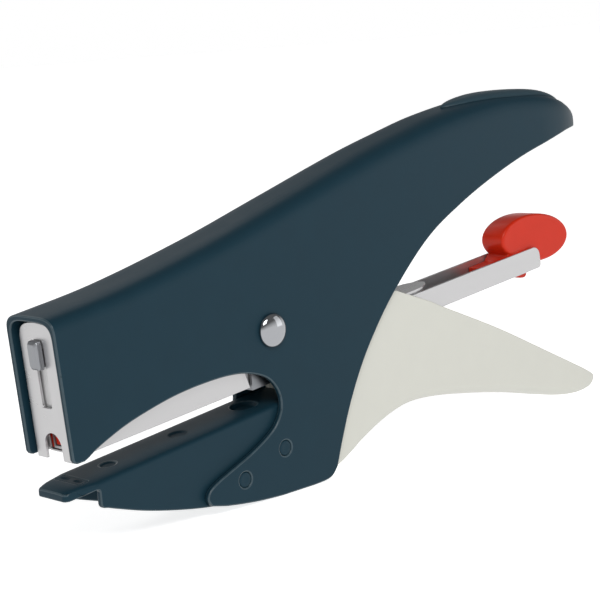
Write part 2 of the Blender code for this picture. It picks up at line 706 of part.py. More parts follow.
def magazine_bracket():
    foot = [on_magazine(u, -1.0) for u in (58.5, 68.5)]
    ear = arc((PIVOT_X, PIVOT_Z), EAR_R, -20, 200, 12)
    bracket = prism("magazine_bracket", foot + ear, -EAR_HALF, EAR_HALF, STEEL)
    inner = EAR_HALF - EAR_SHEET
    combine(bracket, prism("bracket_hollow", [on_magazine(u, v) for u, v in
                                              ((40, -GAP), (40, 40), (90, 40), (90, -GAP))],
                           -inner, inner))
    drill(bracket, PIVOT_X, PIVOT_Z, SHANK_R + GAP)
    return smooth_shade(bracket)


# Driver: blade, lug and the rivet that joins them

def rivet_hole():
    """The round hole for the lug's rivet, as (y, s) on the nose's face."""
    radius = LUG_RIVET_R + GAP
    return [(radius * math.cos(a), LUG_RIVET_S + radius * math.sin(a))
            for a in (2 * math.pi * i / 12 for i in range(12))]


def driver_blade():
    behind = PLATE_RECESS + HEAD_SHEET + GAP
    outline = [(-BLADE_HALF, BLADE_TOP), (BLADE_HALF, BLADE_TOP), (BLADE_HALF, BLADE_BOTTOM),
               (-BLADE_HALF, BLADE_BOTTOM)]
    blade = frontal("driver_blade", outline, behind, behind + BLADE_THICK, STEEL)
    flange = [(-2.6, BLADE_TOP), (2.6, BLADE_TOP), (2.6, BLADE_TOP + 0.8), (-2.6, BLADE_TOP + 0.8)]
    combine(blade, frontal("blade_flange", flange, behind + 0.1, 8.4), "UNION")
    return combine(blade, frontal("blade_hole", rivet_hole(), 0, 7))


def driver_lug():
    """The block on the front that rides in the slot, with bevelled edges."""
    low, high = LUG_TOP, LUG_TOP + LUG_HEIGHT
    face = [(-LUG_HALF + 0.5, low), (LUG_HALF - 0.5, low), (LUG_HALF, low + 0.9), (LUG_HALF, high - 0.9),
            (LUG_HALF - 0.5, high), (-LUG_HALF + 0.5, high), (-LUG_HALF, high - 0.9),
            (-LUG_HALF, low + 0.9)]
    middle = (low + high) / 2
    rings = []
    for r, share in ((-0.45, 0.72), (0.1, 1.0), (PLATE_RECESS - GAP, 1.0)):
        rings.append([(on_nose(middle + (s - middle) * (0.5 + share / 2), r)[0], y * share,
                       on_nose(middle + (s - middle) * (0.5 + share / 2), r)[1]) for y, s in face])
    lug = new_object("driver_lug", rings_to_mesh("driver_lug", rings), STEEL)
    neck = frontal("lug_neck", [(-1.4, low + 2.4), (1.4, low + 2.4), (1.4, high - 1.2), (-1.4, high - 1.2)],
                   0.4, PLATE_RECESS + HEAD_SHEET)
    combine(lug, neck, "UNION")
    return combine(lug, frontal("lug_hole", rivet_hole(), 0.7, 8))


def lug_rivet():
    behind = PLATE_RECESS + HEAD_SHEET + GAP + BLADE_THICK + GAP
    points = [(1.0, LUG_RIVET_R), (behind, LUG_RIVET_R), (behind, 1.3), (behind + 0.5, 1.3)]
    rings = [[(on_nose(LUG_RIVET_S + radius * math.sin(2 * math.pi * i / 12), r)[0],
               radius * math.cos(2 * math.pi * i / 12),
               on_nose(LUG_RIVET_S + radius * math.sin(2 * math.pi * i / 12), r)[1]) for i in range(12)]
             for r, radius in points]
    return new_object("lug_rivet", rings_to_mesh("lug_rivet", rings), STEEL)


# Loader: knob with its plug, rod, pusher, springs and latch

def thumb_knob():
    rims = [(-KNOB_HALF, 0.9), (-KNOB_HALF + 0.25, 0.955), (-KNOB_HALF + 0.8, 1.0),
            (KNOB_HALF - 0.8, 1.0), (KNOB_HALF - 0.25, 0.955), (KNOB_HALF, 0.9)]
    tilt = math.radians(KNOB_TILT)
    rings = []
    for y, share in rims:
        ring = []
        for i in range(36):
            a = 2 * math.pi * i / 36
            u = (KNOB_LONG - KNOB_SHORT * (1 - share)) * math.cos(a)
            v = KNOB_SHORT * share * math.sin(a)
            ring.append((KNOB_X + u * math.cos(tilt) - v * math.sin(tilt), y,
                         KNOB_Z + u * math.sin(tilt) + v * math.cos(tilt)))
        rings.append(ring)
    knob = new_object("thumb_knob", rings_to_mesh("thumb_knob", rings), RED)
    low = MAG_FLOOR
    plug = prism("knob_plug", [on_magazine(u, v) for u, v in
                               ((PLUG_FRONT, low), (PLUG_FRONT, 4.7), (158.6, 4.7), (159.6, 5.7),
                                (160.7, 6.6), (161.0, 9.5), (171.5, 9.5), (171.5, low))],
                 -PLUG_HALF, PLUG_HALF)
    combine(knob, plug, "UNION")
    trim = prism("knob_trim", [on_magazine(u, v) for u, v in
                               ((140, -5), (140, low), (200, low), (200, -5))], -9, 9)
    combine(knob, trim)
    cavity = prism("latch_cavity", [on_magazine(u, v) for u, v in
                                    ((158.4, -1), (158.4, 3.8), (159.6, 4.9), (161.2, 4.9), (162.2, 6.0),
                                     (170.9, 6.0), (170.9, -1))],
                   -LATCH_HALF - GAP, LATCH_HALF + GAP)
    combine(knob, cavity)
    pivot = on_magazine(*LATCH_PIVOT)
    length = LATCH_PIN_HALF + GAP
    drill(knob, pivot[0], pivot[1], LATCH_PIN_R + GAP, -length, length, sides=12)
    seat_end = on_magazine(PLUG_FRONT + 1.4, ROD_LEVEL)
    seat_start = on_magazine(PLUG_FRONT - 3, ROD_LEVEL)
    combine(knob, rod_along("rod_seat", (seat_start[0], 0, seat_start[1]), (seat_end[0], 0, seat_end[1]),
                            ROD_R + GAP, sides=12))
    return smooth_shade(knob)


def pusher_rod():
    a, b = on_magazine(MAG_FRONT + 0.6, ROD_LEVEL), on_magazine(PLUG_FRONT + 1.0, ROD_LEVEL)
    return smooth_shade(rod_along("pusher_rod", (a[0], 0, a[1]), (b[0], 0, b[1]), ROD_R, CHROME, 12))


def pusher_head():
    """The saddle that runs over the core and presses the staples forward."""
    front, rear = MAG_FRONT + 0.2, MAG_FRONT + 0.2 + PUSHER_LENGTH
    low = MAG_FLOOR
    head = prism("pusher_head", [on_magazine(u, v) for u, v in
                                 ((front, low), (front, 5.0), (front + 0.4, 5.4), (rear, 5.4),
                                  (rear, low))], -PUSHER_HALF, PUSHER_HALF, RED)
    for side, label in ((-1, "left"), (1, "right")):
        inner, outer = sorted((side * (CORE_HALF - CORE_WALL - GAP), side * (CORE_HALF + GAP)))
        roof = CORE_TOP + GAP
        combine(head, prism(f"pusher_groove_{label}", [on_magazine(u, v) for u, v in
                                                       ((0, -3), (0, roof), (30, roof), (30, -3))],
                            inner, outer))
    foot = MAG_FLOOR + CORE_WALL + GAP
    combine(head, prism("pusher_foot", [on_magazine(u, v) for u, v in
                                        ((0, -3), (0, foot), (30, foot), (30, -3))],
                        -CORE_HALF + GAP, CORE_HALF - GAP))
    a, b = on_magazine(0, ROD_LEVEL), on_magazine(30, ROD_LEVEL)
    combine(head, rod_along("pusher_bore", (a[0], 0, a[1]), (b[0], 0, b[1]), ROD_R + GAP, sides=12))
    return head


def pusher_spring():
    start = MAG_FRONT + 0.2 + PUSHER_LENGTH + GAP
    a, b = on_magazine(start, ROD_LEVEL), on_magazine(PLUG_FRONT - GAP, ROD_LEVEL)
    return smooth_shade(coil("pusher_spring", (a[0], 0, a[1]), (b[0], 0, b[1]),
                             ROD_R + 2 * PUSHER_WIRE, PUSHER_WIRE, 24, STEEL,
                             sides=3, per_turn=7), 60)


def latch_tongue():
    """The catch under the rail's end, which a fingertip presses up."""
    outline = [on_magazine(u, v) for u, v in
               ((161.4, 4.3), (170.4, 4.0), (170.6, -0.6), (170.2, -1.8), (169.2, -2.4), (166.8, -1.9),
                (164.6, -0.8), (164.2, 2.3), (162.0, 2.2))]
    outline += [on_magazine(u, v) for u, v in arc(LATCH_PIVOT, 1.6, -40, -290, 10)]
    latch = prism("latch_tongue", outline, -LATCH_HALF, LATCH_HALF, RED)
    pivot = on_magazine(*LATCH_PIVOT)
    return drill(latch, pivot[0], pivot[1], LATCH_PIN_R + GAP, sides=12)


def latch_pin():
    pivot = on_magazine(*LATCH_PIVOT)
    return smooth_shade(turned("latch_pin", [(-LATCH_PIN_HALF, LATCH_PIN_R), (LATCH_PIN_HALF, LATCH_PIN_R)],
                               *pivot, STEEL, 12))


def latch_spring():
    a, b = on_magazine(168.2, 4.4), on_magazine(168.2, 5.8)
    return smooth_shade(coil("latch_spring", (a[0], 0, a[1]), (b[0], 0, b[1]), *LATCH_COIL, 2.5, STEEL,
                             sides=4, per_turn=8), 60)


carry(FRAME, body_shell(), palm_pad(), anvil_arm(), anvil_plate(), main_rivet(), pivot_bush(),
      stop_buffer(), return_spring(), *arm_rivets())
carry(HANDLE, lower_handle(), drive_lever(), *lever_pins())
carry(MAGAZINE, front_head(), magazine_channel(), staple_core(), magazine_cover(), magazine_bracket(),
      driver_spring())
carry(DRIVER, driver_blade(), driver_lug(), lug_rivet())
carry(LOADER, thumb_knob(), pusher_rod(), pusher_spring(), latch_pin(), latch_spring())
carry(PUSHER, pusher_head())
carry(LATCH, latch_tongue())
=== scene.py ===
# %% [markdown]
# # A plier stapler
# A plier stapler is squeezed in one hand. The dark upper handle is one folded sheet, with the anvil arm
# fastened inside its two plates. The cream handle below it drives a blade down behind the bright nose
# plate, and a red thumb knob at the back pulls the rail out to load staples.
#
# The imported model is the frame. It fixes where everything is and how it moves. This lesson gives each
# piece that shows a finer mesh and a real finish, and reads its sizes off the boxes of the frame's pieces.

import math

import bmesh
import bpy
from mathutils import Matrix, Vector


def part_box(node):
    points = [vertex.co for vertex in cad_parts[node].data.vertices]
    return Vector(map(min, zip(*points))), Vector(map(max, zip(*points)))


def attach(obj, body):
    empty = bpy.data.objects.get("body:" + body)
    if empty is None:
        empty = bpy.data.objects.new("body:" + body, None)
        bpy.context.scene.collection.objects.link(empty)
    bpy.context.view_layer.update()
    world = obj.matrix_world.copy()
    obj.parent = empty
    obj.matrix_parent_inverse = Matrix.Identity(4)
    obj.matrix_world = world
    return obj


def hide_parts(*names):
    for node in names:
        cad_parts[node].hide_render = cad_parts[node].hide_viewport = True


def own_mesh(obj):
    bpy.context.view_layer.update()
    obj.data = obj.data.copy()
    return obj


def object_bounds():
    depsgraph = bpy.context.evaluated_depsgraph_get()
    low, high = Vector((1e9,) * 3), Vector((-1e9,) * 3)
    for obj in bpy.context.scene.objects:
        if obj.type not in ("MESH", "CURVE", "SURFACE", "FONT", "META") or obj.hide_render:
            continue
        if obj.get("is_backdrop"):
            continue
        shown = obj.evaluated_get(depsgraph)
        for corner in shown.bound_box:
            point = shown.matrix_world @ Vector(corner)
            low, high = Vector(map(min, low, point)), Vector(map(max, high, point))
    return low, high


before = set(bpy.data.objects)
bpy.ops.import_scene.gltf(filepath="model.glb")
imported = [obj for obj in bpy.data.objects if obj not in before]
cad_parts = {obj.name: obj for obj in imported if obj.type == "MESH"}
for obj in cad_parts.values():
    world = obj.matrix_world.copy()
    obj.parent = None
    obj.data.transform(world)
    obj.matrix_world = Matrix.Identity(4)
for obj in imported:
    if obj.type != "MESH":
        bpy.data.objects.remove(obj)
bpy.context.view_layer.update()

# %% [markdown]
# Sheet-metal work is drawn in millimetres from the nose, so this lesson does the same. x is counted
# from the front edge of the nose and z from the table. One function turns such a place into the frame's
# metres, and it reads where the nose is from the frame itself: the driver's lug stands out furthest, by a
# tenth of a millimetre.

# %% Places in millimetres
MM = 0.001
GAP = 0.3
LUG_REACH = 0.11
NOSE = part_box("driver_lug")[0].x + LUG_REACH * MM


def place(x, y, z):
    return Vector((NOSE + x * MM, y * MM, z * MM))


def span(node):
    """(lowest, highest) corner of a CAD node in millimetres from the nose."""
    low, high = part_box(node)
    return tuple(Vector(((c.x - NOSE) / MM, c.y / MM, c.z / MM)) for c in (low, high))


def centre(node):
    """The middle of a CAD node's box, in millimetres from the nose."""
    low, high = span(node)
    return (low + high) / 2


SHELL_HALF = span("body_shell")[1].y
SHELL_SHEET = 1.4
HANDLE_HALF = span("lower_handle")[1].y
HANDLE_SHEET = 1.1
HANDLE_END = span("lower_handle")[1].x
MAG_HALF = span("magazine_channel")[1].y
MAG_WALL = 0.6
PIVOT = centre("main_rivet")
PIVOT_HOLE_R = 2.3
print("shell", round(2 * SHELL_HALF, 2), "mm wide, pivot at", [round(c, 1) for c in PIVOT])

# %% [markdown]
# Pressed sheet has flowing outlines. A few given points joined by a spline give the same
# line as a press tool's template, and arcs give the round ends. Two helpers draw those, and a third
# reads a height off a line, so that a fold can follow it.

# %% Curves
def smooth(points, steps=10):
    """A spline through the points."""
    rounded = []
    for i in range(len(points) - 1):
        before = points[max(i - 1, 0)]
        start, end = points[i], points[i + 1]
        after = points[min(i + 2, len(points) - 1)]
        for step in range(steps):
            t = step / steps
            rounded.append(tuple(
                0.5 * (2 * b + (c - a) * t + (2 * a - 5 * b + 4 * c - d) * t ** 2
                       + (3 * b - a - 3 * c + d) * t ** 3)
                for a, b, c, d in zip(before, start, end, after)))
    return rounded + [points[-1]]


def height_along(points, x):
    """The height at x of a smooth line through points whose x grows."""
    if x <= points[0][0]:
        return points[0][1]
    if x >= points[-1][0]:
        return points[-1][1]
    i = max(k for k in range(len(points) - 1) if points[k][0] <= x)
    (x0, z0), (x1, z1) = points[i], points[i + 1]
    slope = (z1 - z0) / (x1 - x0)
    slopes = []
    for k in (i, i + 1):
        low, high = points[max(k - 1, 0)], points[min(k + 1, len(points) - 1)]
        slopes.append((high[1] - low[1]) / (high[0] - low[0]))
    t = (x - x0) / (x1 - x0)
    return (z0 + slope * (x - x0)
            + (x1 - x0) * t * (1 - t) * ((slopes[0] - slope) * (1 - t) - (slopes[1] - slope) * t))


def arc(centre, radius, start, end, steps=16):
    """Points on an arc, with its angles in degrees."""
    angles = [math.radians(start + (end - start) * i / steps) for i in range(steps + 1)]
    return [(centre[0] + radius * math.cos(a), centre[1] + radius * math.sin(a)) for a in angles]


# %% [markdown]
# Two parts of the stapler sit at a slant: the staple rail climbs six degrees towards the back, and the
# nose leans back a little. Each gets its own ruler, so that a length along the rail or down the nose can
# be given as it would be measured on the bench.

# %% Rulers along the rail and down the nose
MAG_TILT = math.radians(6.0)
MAG_BASE_Z = 22.0
MAG_HEIGHT = 6.3
MAG_FRONT = 6.1
MAG_REAR = 173.0
NOSE_LEAN = math.radians(3.7)
NOSE_FACE = (0.34, 49.4)


def on_magazine(u, v):
    """The (x, z) of a point u along the rail's floor and v above it."""
    return (u * math.cos(MAG_TILT) - v * math.sin(MAG_TILT),
            MAG_BASE_Z + u * math.sin(MAG_TILT) + v * math.cos(MAG_TILT))


def on_nose(s, r):
    """The (x, z) of a point s down the nose's front face and r behind it."""
    return (NOSE_FACE[0] + s * math.sin(NOSE_LEAN) + r * math.cos(NOSE_LEAN),
            NOSE_FACE[1] - s * math.cos(NOSE_LEAN) + r * math.sin(NOSE_LEAN))


def rail_line(points):
    """An outline in u and v on the rail, as one in x and z."""
    return [on_magazine(u, v) for u, v in points]


def rail_section(u, v, y):
    """A point u along the rail, v above its floor and y to the side."""
    x, z = on_magazine(u, v)
    return (x, y, z)


print("rail climbs", round(math.degrees(MAG_TILT), 1), "degrees, nose leans",
      round(math.degrees(NOSE_LEAN), 1))


# %% [markdown]
# Every mesh here is made of rings joined into a tube: an outline pulled across is two rings, a turned
# rivet is many, and a spring is hundreds. So one function builds them all, and the rest only lay out
# the rings.

# %% Mesh makers
def skin(name, rings, closed=False):
    """Joins rings of equal length. The ends are capped unless the tube closes on itself."""
    bm = bmesh.new()
    rows = [[bm.verts.new(place(*point)) for point in ring] for ring in rings]
    count = len(rows[0])
    for first, second in list(zip(rows, rows[1:])) + ([(rows[-1], rows[0])] if closed else []):
        for i in range(count):
            j = (i + 1) % count
            bm.faces.new((first[i], first[j], second[j], second[i]))
    if not closed:
        bm.faces.new(rows[0])
        bm.faces.new(rows[-1])
    bmesh.ops.recalc_face_normals(bm, faces=bm.faces[:])
    mesh = bpy.data.meshes.new(name)
    bm.to_mesh(mesh)
    bm.free()
    obj = bpy.data.objects.new(name, mesh)
    bpy.context.scene.collection.objects.link(obj)
    return obj


def prism(name, outline, y_low, y_high):
    """An outline in x and z, pulled across from y_low to y_high."""
    return skin(name, [[(x, y, z) for x, z in outline] for y in (y_low, y_high)])


def frontal(name, outline, r_low, r_high):
    """An outline in y and s on the nose's face, pulled from r_low to r_high behind it."""
    rings = []
    for r in (r_low, r_high):
        levels = [on_nose(s, r) for y, s in outline]
        rings.append([(x, y, z) for (y, s), (x, z) in zip(outline, levels)])
    return skin(name, rings)


def turned(name, profile, x, z, sides=64):
    """A round piece on a crossways axis, from a profile of (y, radius)."""
    turns = [2 * math.pi * i / sides for i in range(sides)]
    return skin(name, [[(x + radius * math.cos(a), y, z + radius * math.sin(a)) for a in turns]
                       for y, radius in profile])


def folded_sheet(name, stations, half, apex, arch, power, side, reach, steps):
    """Cross-sections of a folded sheet's outside: upright walls under a domed fold."""
    rings = []
    for x in stations:
        ring = [(x, -half(x), reach)]
        for k in range(2 * steps + 1):
            turn = math.pi * (1 - k / (2 * steps))
            across = math.copysign(abs(math.cos(turn)) ** (2 / power), math.cos(turn))
            up = math.sin(turn) ** (2 / power)
            ring.append((x, half(x) * across, apex(x) - side * arch(x) * (1 - up)))
        ring.append((x, half(x), reach))
        rings.append(ring)
    return skin(name, rings)


def spaced(low, high, step, extra=()):
    """Evenly spaced stations about a step apart, with any extra ones sorted in."""
    count = max(2, round((high - low) / step))
    return sorted([low + (high - low) * i / count for i in range(count + 1)] + list(extra))


# %% [markdown]
# Holes and trimmed edges are cut with Booleans, like a punch. Real sheet has no knife edges: the press
# rounds them and the paint rounds them more, and that thin round is what catches the light. So every
# cut piece then gets a narrow bevel, and its flats stay flat because the normals are weighted by face.

# %% Cutting and rounding
CUTTER_REACH = 20
SPECK = 0.02
ONE_PLANE = 0.4


def cut(target, *tools, how="DIFFERENCE"):
    """Cuts the target with each tool, keeps the result as its mesh, and throws the tools away."""
    for tool in tools:
        boolean = target.modifiers.new("cut", "BOOLEAN")
        boolean.operation = how
        boolean.solver = "EXACT"
        boolean.object = tool
    bake(target)
    for tool in tools:
        bpy.data.objects.remove(tool, do_unlink=True)


def punch(name, radius, x, z, sides=64):
    """A round cutter that goes right through both sides."""
    return turned(name, [(-CUTTER_REACH, radius), (CUTTER_REACH, radius)], x, z, sides)


def trimmed(target, outline):
    """Keeps only what lies inside an outline in x and z."""
    cut(target, prism("trim", outline, -CUTTER_REACH, CUTTER_REACH), how="INTERSECT")


def bake(obj):
    """Turns an object's modifiers into plain mesh."""
    bpy.context.view_layer.update()
    graph = bpy.context.evaluated_depsgraph_get()
    mesh = bpy.data.meshes.new_from_object(obj.evaluated_get(graph))
    obj.modifiers.clear()
    obj.data = mesh


def tidy(obj):
    """Welds specks left by a cut and joins faces that lie in one plane."""
    bm = bmesh.new()
    bm.from_mesh(obj.data)
    bmesh.ops.remove_doubles(bm, verts=bm.verts[:], dist=SPECK * MM)
    bmesh.ops.dissolve_limit(bm, angle_limit=math.radians(ONE_PLANE), verts=bm.verts[:],
                             edges=bm.edges[:])
    bmesh.ops.recalc_face_normals(bm, faces=bm.faces[:])
    bm.to_mesh(obj.data)
    bm.free()


def round_edges(obj, width, angle=40, rounds=3):
    """A narrow bevel with its own material slot on every edge sharper than the angle, shaded smooth."""
    obj.data.materials.clear()
    for _ in ("face", "edge"):
        obj.data.materials.append(None)
    bevel = obj.modifiers.new("edge", "BEVEL")
    bevel.material = 1
    bevel.width = width * MM
    bevel.segments = rounds
    bevel.limit_method = "ANGLE"
    bevel.angle_limit = math.radians(angle)
    bevel.use_clamp_overlap = False
    bevel.miter_outer = "MITER_ARC"
    bake(obj)
    obj.data.shade_smooth()
    weight = obj.modifiers.new("flats", "WEIGHTED_NORMAL")
    weight.keep_sharp = False
    weight.weight = 80


def show(obj, material, body, slot, *nodes, edge=None):
    """Gives a finished piece its material, its body and the CAD nodes that it stands for."""
    if edge:
        obj.data.materials[0] = material
        obj.data.materials[1] = edge
    else:
        for face in obj.data.polygons:
            face.material_index = 0
        obj.data.materials.clear()
        obj.data.materials.append(material)
    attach(obj, body)
    if nodes:
        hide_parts(*nodes)
    print(obj.name, len(obj.data.polygons), "faces")


# %% [markdown]
# ## Finishes
# All finishes share the same few parts: a Principled shader, a noise that makes the roughness uneven at
# the size of a fingerprint, and a finer noise as bump for the grain of the coat. One function wires
# them, and each finish then says only its own colour, gloss and grain.

# %% One finish with uneven gloss and a fine grain
def finish(name, colour, roughness, metallic=0.0, uneven=0.08, patch=180, grain=1800, depth=0.01,
           stretch=(1, 1, 1), shade=0.06):
    material = bpy.data.materials.new(name)
    material.use_nodes = True
    nodes, links = material.node_tree.nodes, material.node_tree.links
    shader = nodes["Principled BSDF"]
    shader.inputs["Metallic"].default_value = metallic
    where = nodes.new("ShaderNodeTexCoord")
    mapping = nodes.new("ShaderNodeMapping")
    mapping.inputs["Scale"].default_value = stretch
    links.new(where.outputs["Object"], mapping.inputs["Vector"])
    patches = nodes.new("ShaderNodeTexNoise")
    patches.inputs["Scale"].default_value = patch
    patches.inputs["Detail"].default_value = 3
    links.new(mapping.outputs["Vector"], patches.inputs["Vector"])
    gloss = nodes.new("ShaderNodeMapRange")
    gloss.inputs["To Min"].default_value = max(0.02, roughness - uneven)
    gloss.inputs["To Max"].default_value = roughness + uneven
    links.new(patches.outputs["Fac"], gloss.inputs["Value"])
    links.new(gloss.outputs["Result"], shader.inputs["Roughness"])
    tone = nodes.new("ShaderNodeMix")
    tone.data_type = "RGBA"
    tone.inputs["A"].default_value = (*[c * (1 - shade) for c in colour], 1)
    tone.inputs["B"].default_value = (*[min(1, c * (1 + shade)) for c in colour], 1)
    links.new(patches.outputs["Fac"], tone.inputs["Factor"])
    links.new(tone.outputs["Result"], shader.inputs["Base Color"])
    fine = nodes.new("ShaderNodeTexNoise")
    fine.inputs["Scale"].default_value = grain
    fine.inputs["Detail"].default_value = 2
    links.new(mapping.outputs["Vector"], fine.inputs["Vector"])
    bump = nodes.new("ShaderNodeBump")
    bump.inputs["Strength"].default_value = 0.5
    bump.inputs["Distance"].default_value = depth * MM
    links.new(fine.outputs["Fac"], bump.inputs["Height"])
    links.new(bump.outputs["Normal"], shader.inputs["Normal"])
    material.diffuse_color = (*colour, 1)
    return material


# %% [markdown]
# The upper handle and the anvil arm carry a satin slate-blue powder coat. A powder coat melts into a
# skin with a very fine orange peel, so its grain is shallow and its gloss soft. The palm pad is the same
# colour in a soft moulded plastic: rougher and a little lighter. The rounded edges get a paler and
# glossier mix of the coat: a painted highlight, standing in for the light that the edges catch.

# %% Slate coat and palm pad
def sheen(material, level):
    """How strongly a coat mirrors what it faces: 0.5 is plain varnish."""
    material.node_tree.nodes["Principled BSDF"].inputs["Specular IOR Level"].default_value = level
    return material


SLATE = sheen(finish("slate_coat", (0.0095, 0.0365, 0.0555), 0.42, uneven=0.04, grain=1500,
                     depth=0.012), 0.16)
# painted highlight: a paler, glossier coat on the bevelled edges stands in for light caught along them
SLATE_EDGE_HIGHLIGHT = sheen(finish("slate_coat_painted_edge_highlight", (0.04, 0.075, 0.095), 0.32, uneven=0.1, patch=900,
                          grain=1500, depth=0.012, shade=0.3), 0.45)
PAD = sheen(finish("palm_pad_plastic", (0.027, 0.061, 0.082), 0.5, uneven=0.05, grain=2600,
                   depth=0.02), 0.3)
print("slate coat and pad ready")

# %% [markdown]
# The lower handle is coated in a warm cream. A pale coat scatters light under its surface evenly, so it
# looks flatter than the dark one, with the same orange peel.

# %% Cream coat
CREAM = sheen(finish("cream_coat", (0.71, 0.71, 0.645), 0.45, uneven=0.05, grain=1500,
                     depth=0.012, shade=0.02), 0.3)
print("cream coat ready")

# %% [markdown]
# The rail and the nose plate are nickel-plated steel. Rolling leaves fine streaks along the sheet, so
# the noise is stretched: long along x, narrow across. The rivet's dome is polished chrome, and the
# springs, pins and driver are plain steel with a thin film of oil.

# %% Metals
NICKEL = finish("nickel_plate_fine", (0.64, 0.635, 0.64), 0.29, 0.8, uneven=0.06, patch=60, grain=500,
                depth=0.004, stretch=(0.15, 3, 3), shade=0.04)
CHROME = finish("polished_chrome", (0.43, 0.44, 0.46), 0.09, 1.0, uneven=0.03, patch=300, grain=900,
                depth=0.002, shade=0.02)
STEEL = finish("oiled_steel", (0.3, 0.31, 0.33), 0.36, 1.0, uneven=0.08, patch=250, grain=1200,
               depth=0.006, shade=0.12)
SATIN = finish("satin_steel", (0.72, 0.72, 0.72), 0.5, 0.5, uneven=0.06, patch=120, grain=700, depth=0.004,
               stretch=(1, 1, 0.2), shade=0.05)
LUG_STEEL = finish("lug_steel", (0.35, 0.36, 0.38), 0.42, 0.9, uneven=0.06, patch=400, grain=2400,
                   depth=0.008, shade=0.08)
print("nickel, chrome and three steels ready")

# %% [markdown]
# The knob, the pusher and the catch are moulded in glossy red plastic. Light goes a little way into it,
# which is what makes red plastic look warm at its rims, so it has some subsurface scattering.

# %% Red plastic and black rubber
RED = sheen(finish("moulded_red", (0.67, 0.027, 0.006), 0.3, uneven=0.05, patch=260, grain=2200,
                   depth=0.006, shade=0.05), 0.24)
red_shader = RED.node_tree.nodes["Principled BSDF"]
red_shader.inputs["Subsurface Weight"].default_value = 0.12
red_shader.inputs["Subsurface Radius"].default_value = (1.0, 0.25, 0.15)
red_shader.inputs["Subsurface Scale"].default_value = 1.2 * MM
RUBBER = finish("buffer_rubber", (0.02, 0.02, 0.022), 0.8, grain=1500, depth=0.03)
print("red plastic and rubber ready")

# %% [markdown]
# ## The upper handle
# The upper handle is one sheet folded over a former. Its crown line climbs from the nose to the palm and
# turns down at the tip, and the fold gets softer towards the palm. Two lines hold that shape: the
# crown's height and the depth of the dome under it. The plan narrows only near the tip. FOLD_POWER is
# how square the fold is: 2 would be an ellipse, and more comes nearer to a box.

# %% Crown, dome and plan of the upper handle
TIP_END = 195.6
TIP_TAPER = 27.6
CROWN = [(-2, 54.8), (22, 58.6), (50, 65.2), (75, 72.4), (103, 80.5), (118, 84.2), (132, 87.3),
         (151, 89.9), (163.5, 90.2), (175, 89.4), (183, 87.6), (189, 85.2), (193, 82.9),
         (TIP_END, 80.0)]
ARCH = [(-2, 5.2), (50, 6.5), (100, 8.5), (150, 11.0), (175, 10.5), (189, 7.0), (TIP_END, 2.5)]
FOLD_POWER = 3.9


def crown(x):
    return height_along(CROWN, x)


def dome(x):
    return height_along(ARCH, x)


def shell_half(x, inset=0.0):
    """Half the upper handle's width at x, or of its hollow when inset by the sheet."""
    t = max(0.0, (x - TIP_END + TIP_TAPER) / (TIP_TAPER - 1.5 * inset))
    return (SHELL_HALF - inset) * max(0.0, 1 - t ** 2.4) ** 0.75


def crown_surface(x, y):
    """The height of the upper handle's back at x and y."""
    share = min(1.0, abs(y) / shell_half(x))
    return crown(x) - dome(x) * (1 - (1 - share ** FOLD_POWER) ** (1 / FOLD_POWER))


print("crown rises to", max(z for _, z in CROWN), "mm, fold power", FOLD_POWER)


# %% [markdown]
# The plates are trimmed to one outline: the leaning nose edge, the throat that paper slides into, the
# lobe that holds the anvil arm, the belly that it stands on and the long curve of the back edge.

# %% Outline of the side plates
def shell_outline():
    throat = smooth([(6.4, 22.7), (9.5, 24.5), (17.0, 27.6), (24.6, 29.8), (32.3, 31.5), (40.1, 32.5),
                     (48.1, 32.9), (54.6, 32.3), (60.2, 30.3), (63.3, 27.3), (64.6, 23.7), (64.0, 20.3),
                     (61.3, 16.9), (55.0, 13.3), (48.2, 10.5), (43.4, 8.6), (40.2, 6.8), (39.2, 4.8),
                     (40.2, 2.9)], 7)
    belly = smooth([(44.9, 1.8), (50.0, 1.05), (56.0, 0.4), (63.0, 0.0)], 5)
    belly += smooth([(74.0, 0.0), (78.0, 0.25), (80.4, 1.0), (82.2, 2.9)], 5)
    rear = smooth([(84.4, 8.8), (87.9, 17.1), (92.7, 26.0), (98.0, 33.6), (105.2, 42.0),
                   (115.2, 51.3), (123.5, 57.4), (133.2, 62.4), (144.4, 67.2), (158.4, 72.1),
                   (170.6, 75.4), (184.5, 78.2), (TIP_END + 1, 78.4)], 7)
    foot = on_nose(NOSE_FACE[1] - 22.0, 0)[0]
    corner = [on_nose(NOSE_FACE[1] - 23.0, 0), (foot + 0.35, 22.25), (foot + 1.2, 22.0), (5.2, 22.15)]
    return ([on_nose(-60, 0)] + corner + throat + belly + rear
            + [(TIP_END + 4, 78.6), (TIP_END + 4, 110)])


near_tip = [TIP_END - back for back in (0.25, 0.5, 0.8, 1.2, 1.8, 2.4, 3.2)]
shell = folded_sheet("handle_shell", spaced(-2, TIP_END - 4.2, 3, near_tip), shell_half, crown, dome,
                     FOLD_POWER, side=1, reach=-10, steps=24)
trimmed(shell, shell_outline())
hollow = folded_sheet("hollow", spaced(-6, TIP_END - 6, 4, (TIP_END - 4.5, TIP_END - 3.6)),
                      lambda x: shell_half(x, SHELL_SHEET), lambda x: crown(x) - SHELL_SHEET, dome,
                      FOLD_POWER, side=1, reach=-14, steps=14)
cut(shell, hollow, punch("pivot_hole", PIVOT_HOLE_R, PIVOT.x, PIVOT.z))
print("shell cut:", len(shell.data.polygons), "faces")

# %% [markdown]
# Two rivets through each plate of the lobe hold the anvil arm. They were set flush and painted over, so
# each sits in its hole with its end just below the surface, and only a thin round groove shows.

# %% Rivet holes, rounded edges and the finished shell
ARM_RIVETS = {end: centre(f"arm_rivet_{end}_left") for end in ("front", "rear")}
ARM_RIVET_HOLE_R = 1.95
cut(shell, *[punch("rivet_hole", ARM_RIVET_HOLE_R, spot.x, spot.z, 40) for spot in ARM_RIVETS.values()])
tidy(shell)
round_edges(shell, 0.38)
# the bevelled edges of the shell get the paler coat, a painted highlight
show(shell, SLATE, "frame", "slate_paint", "body_shell", edge=SLATE_EDGE_HIGHLIGHT)

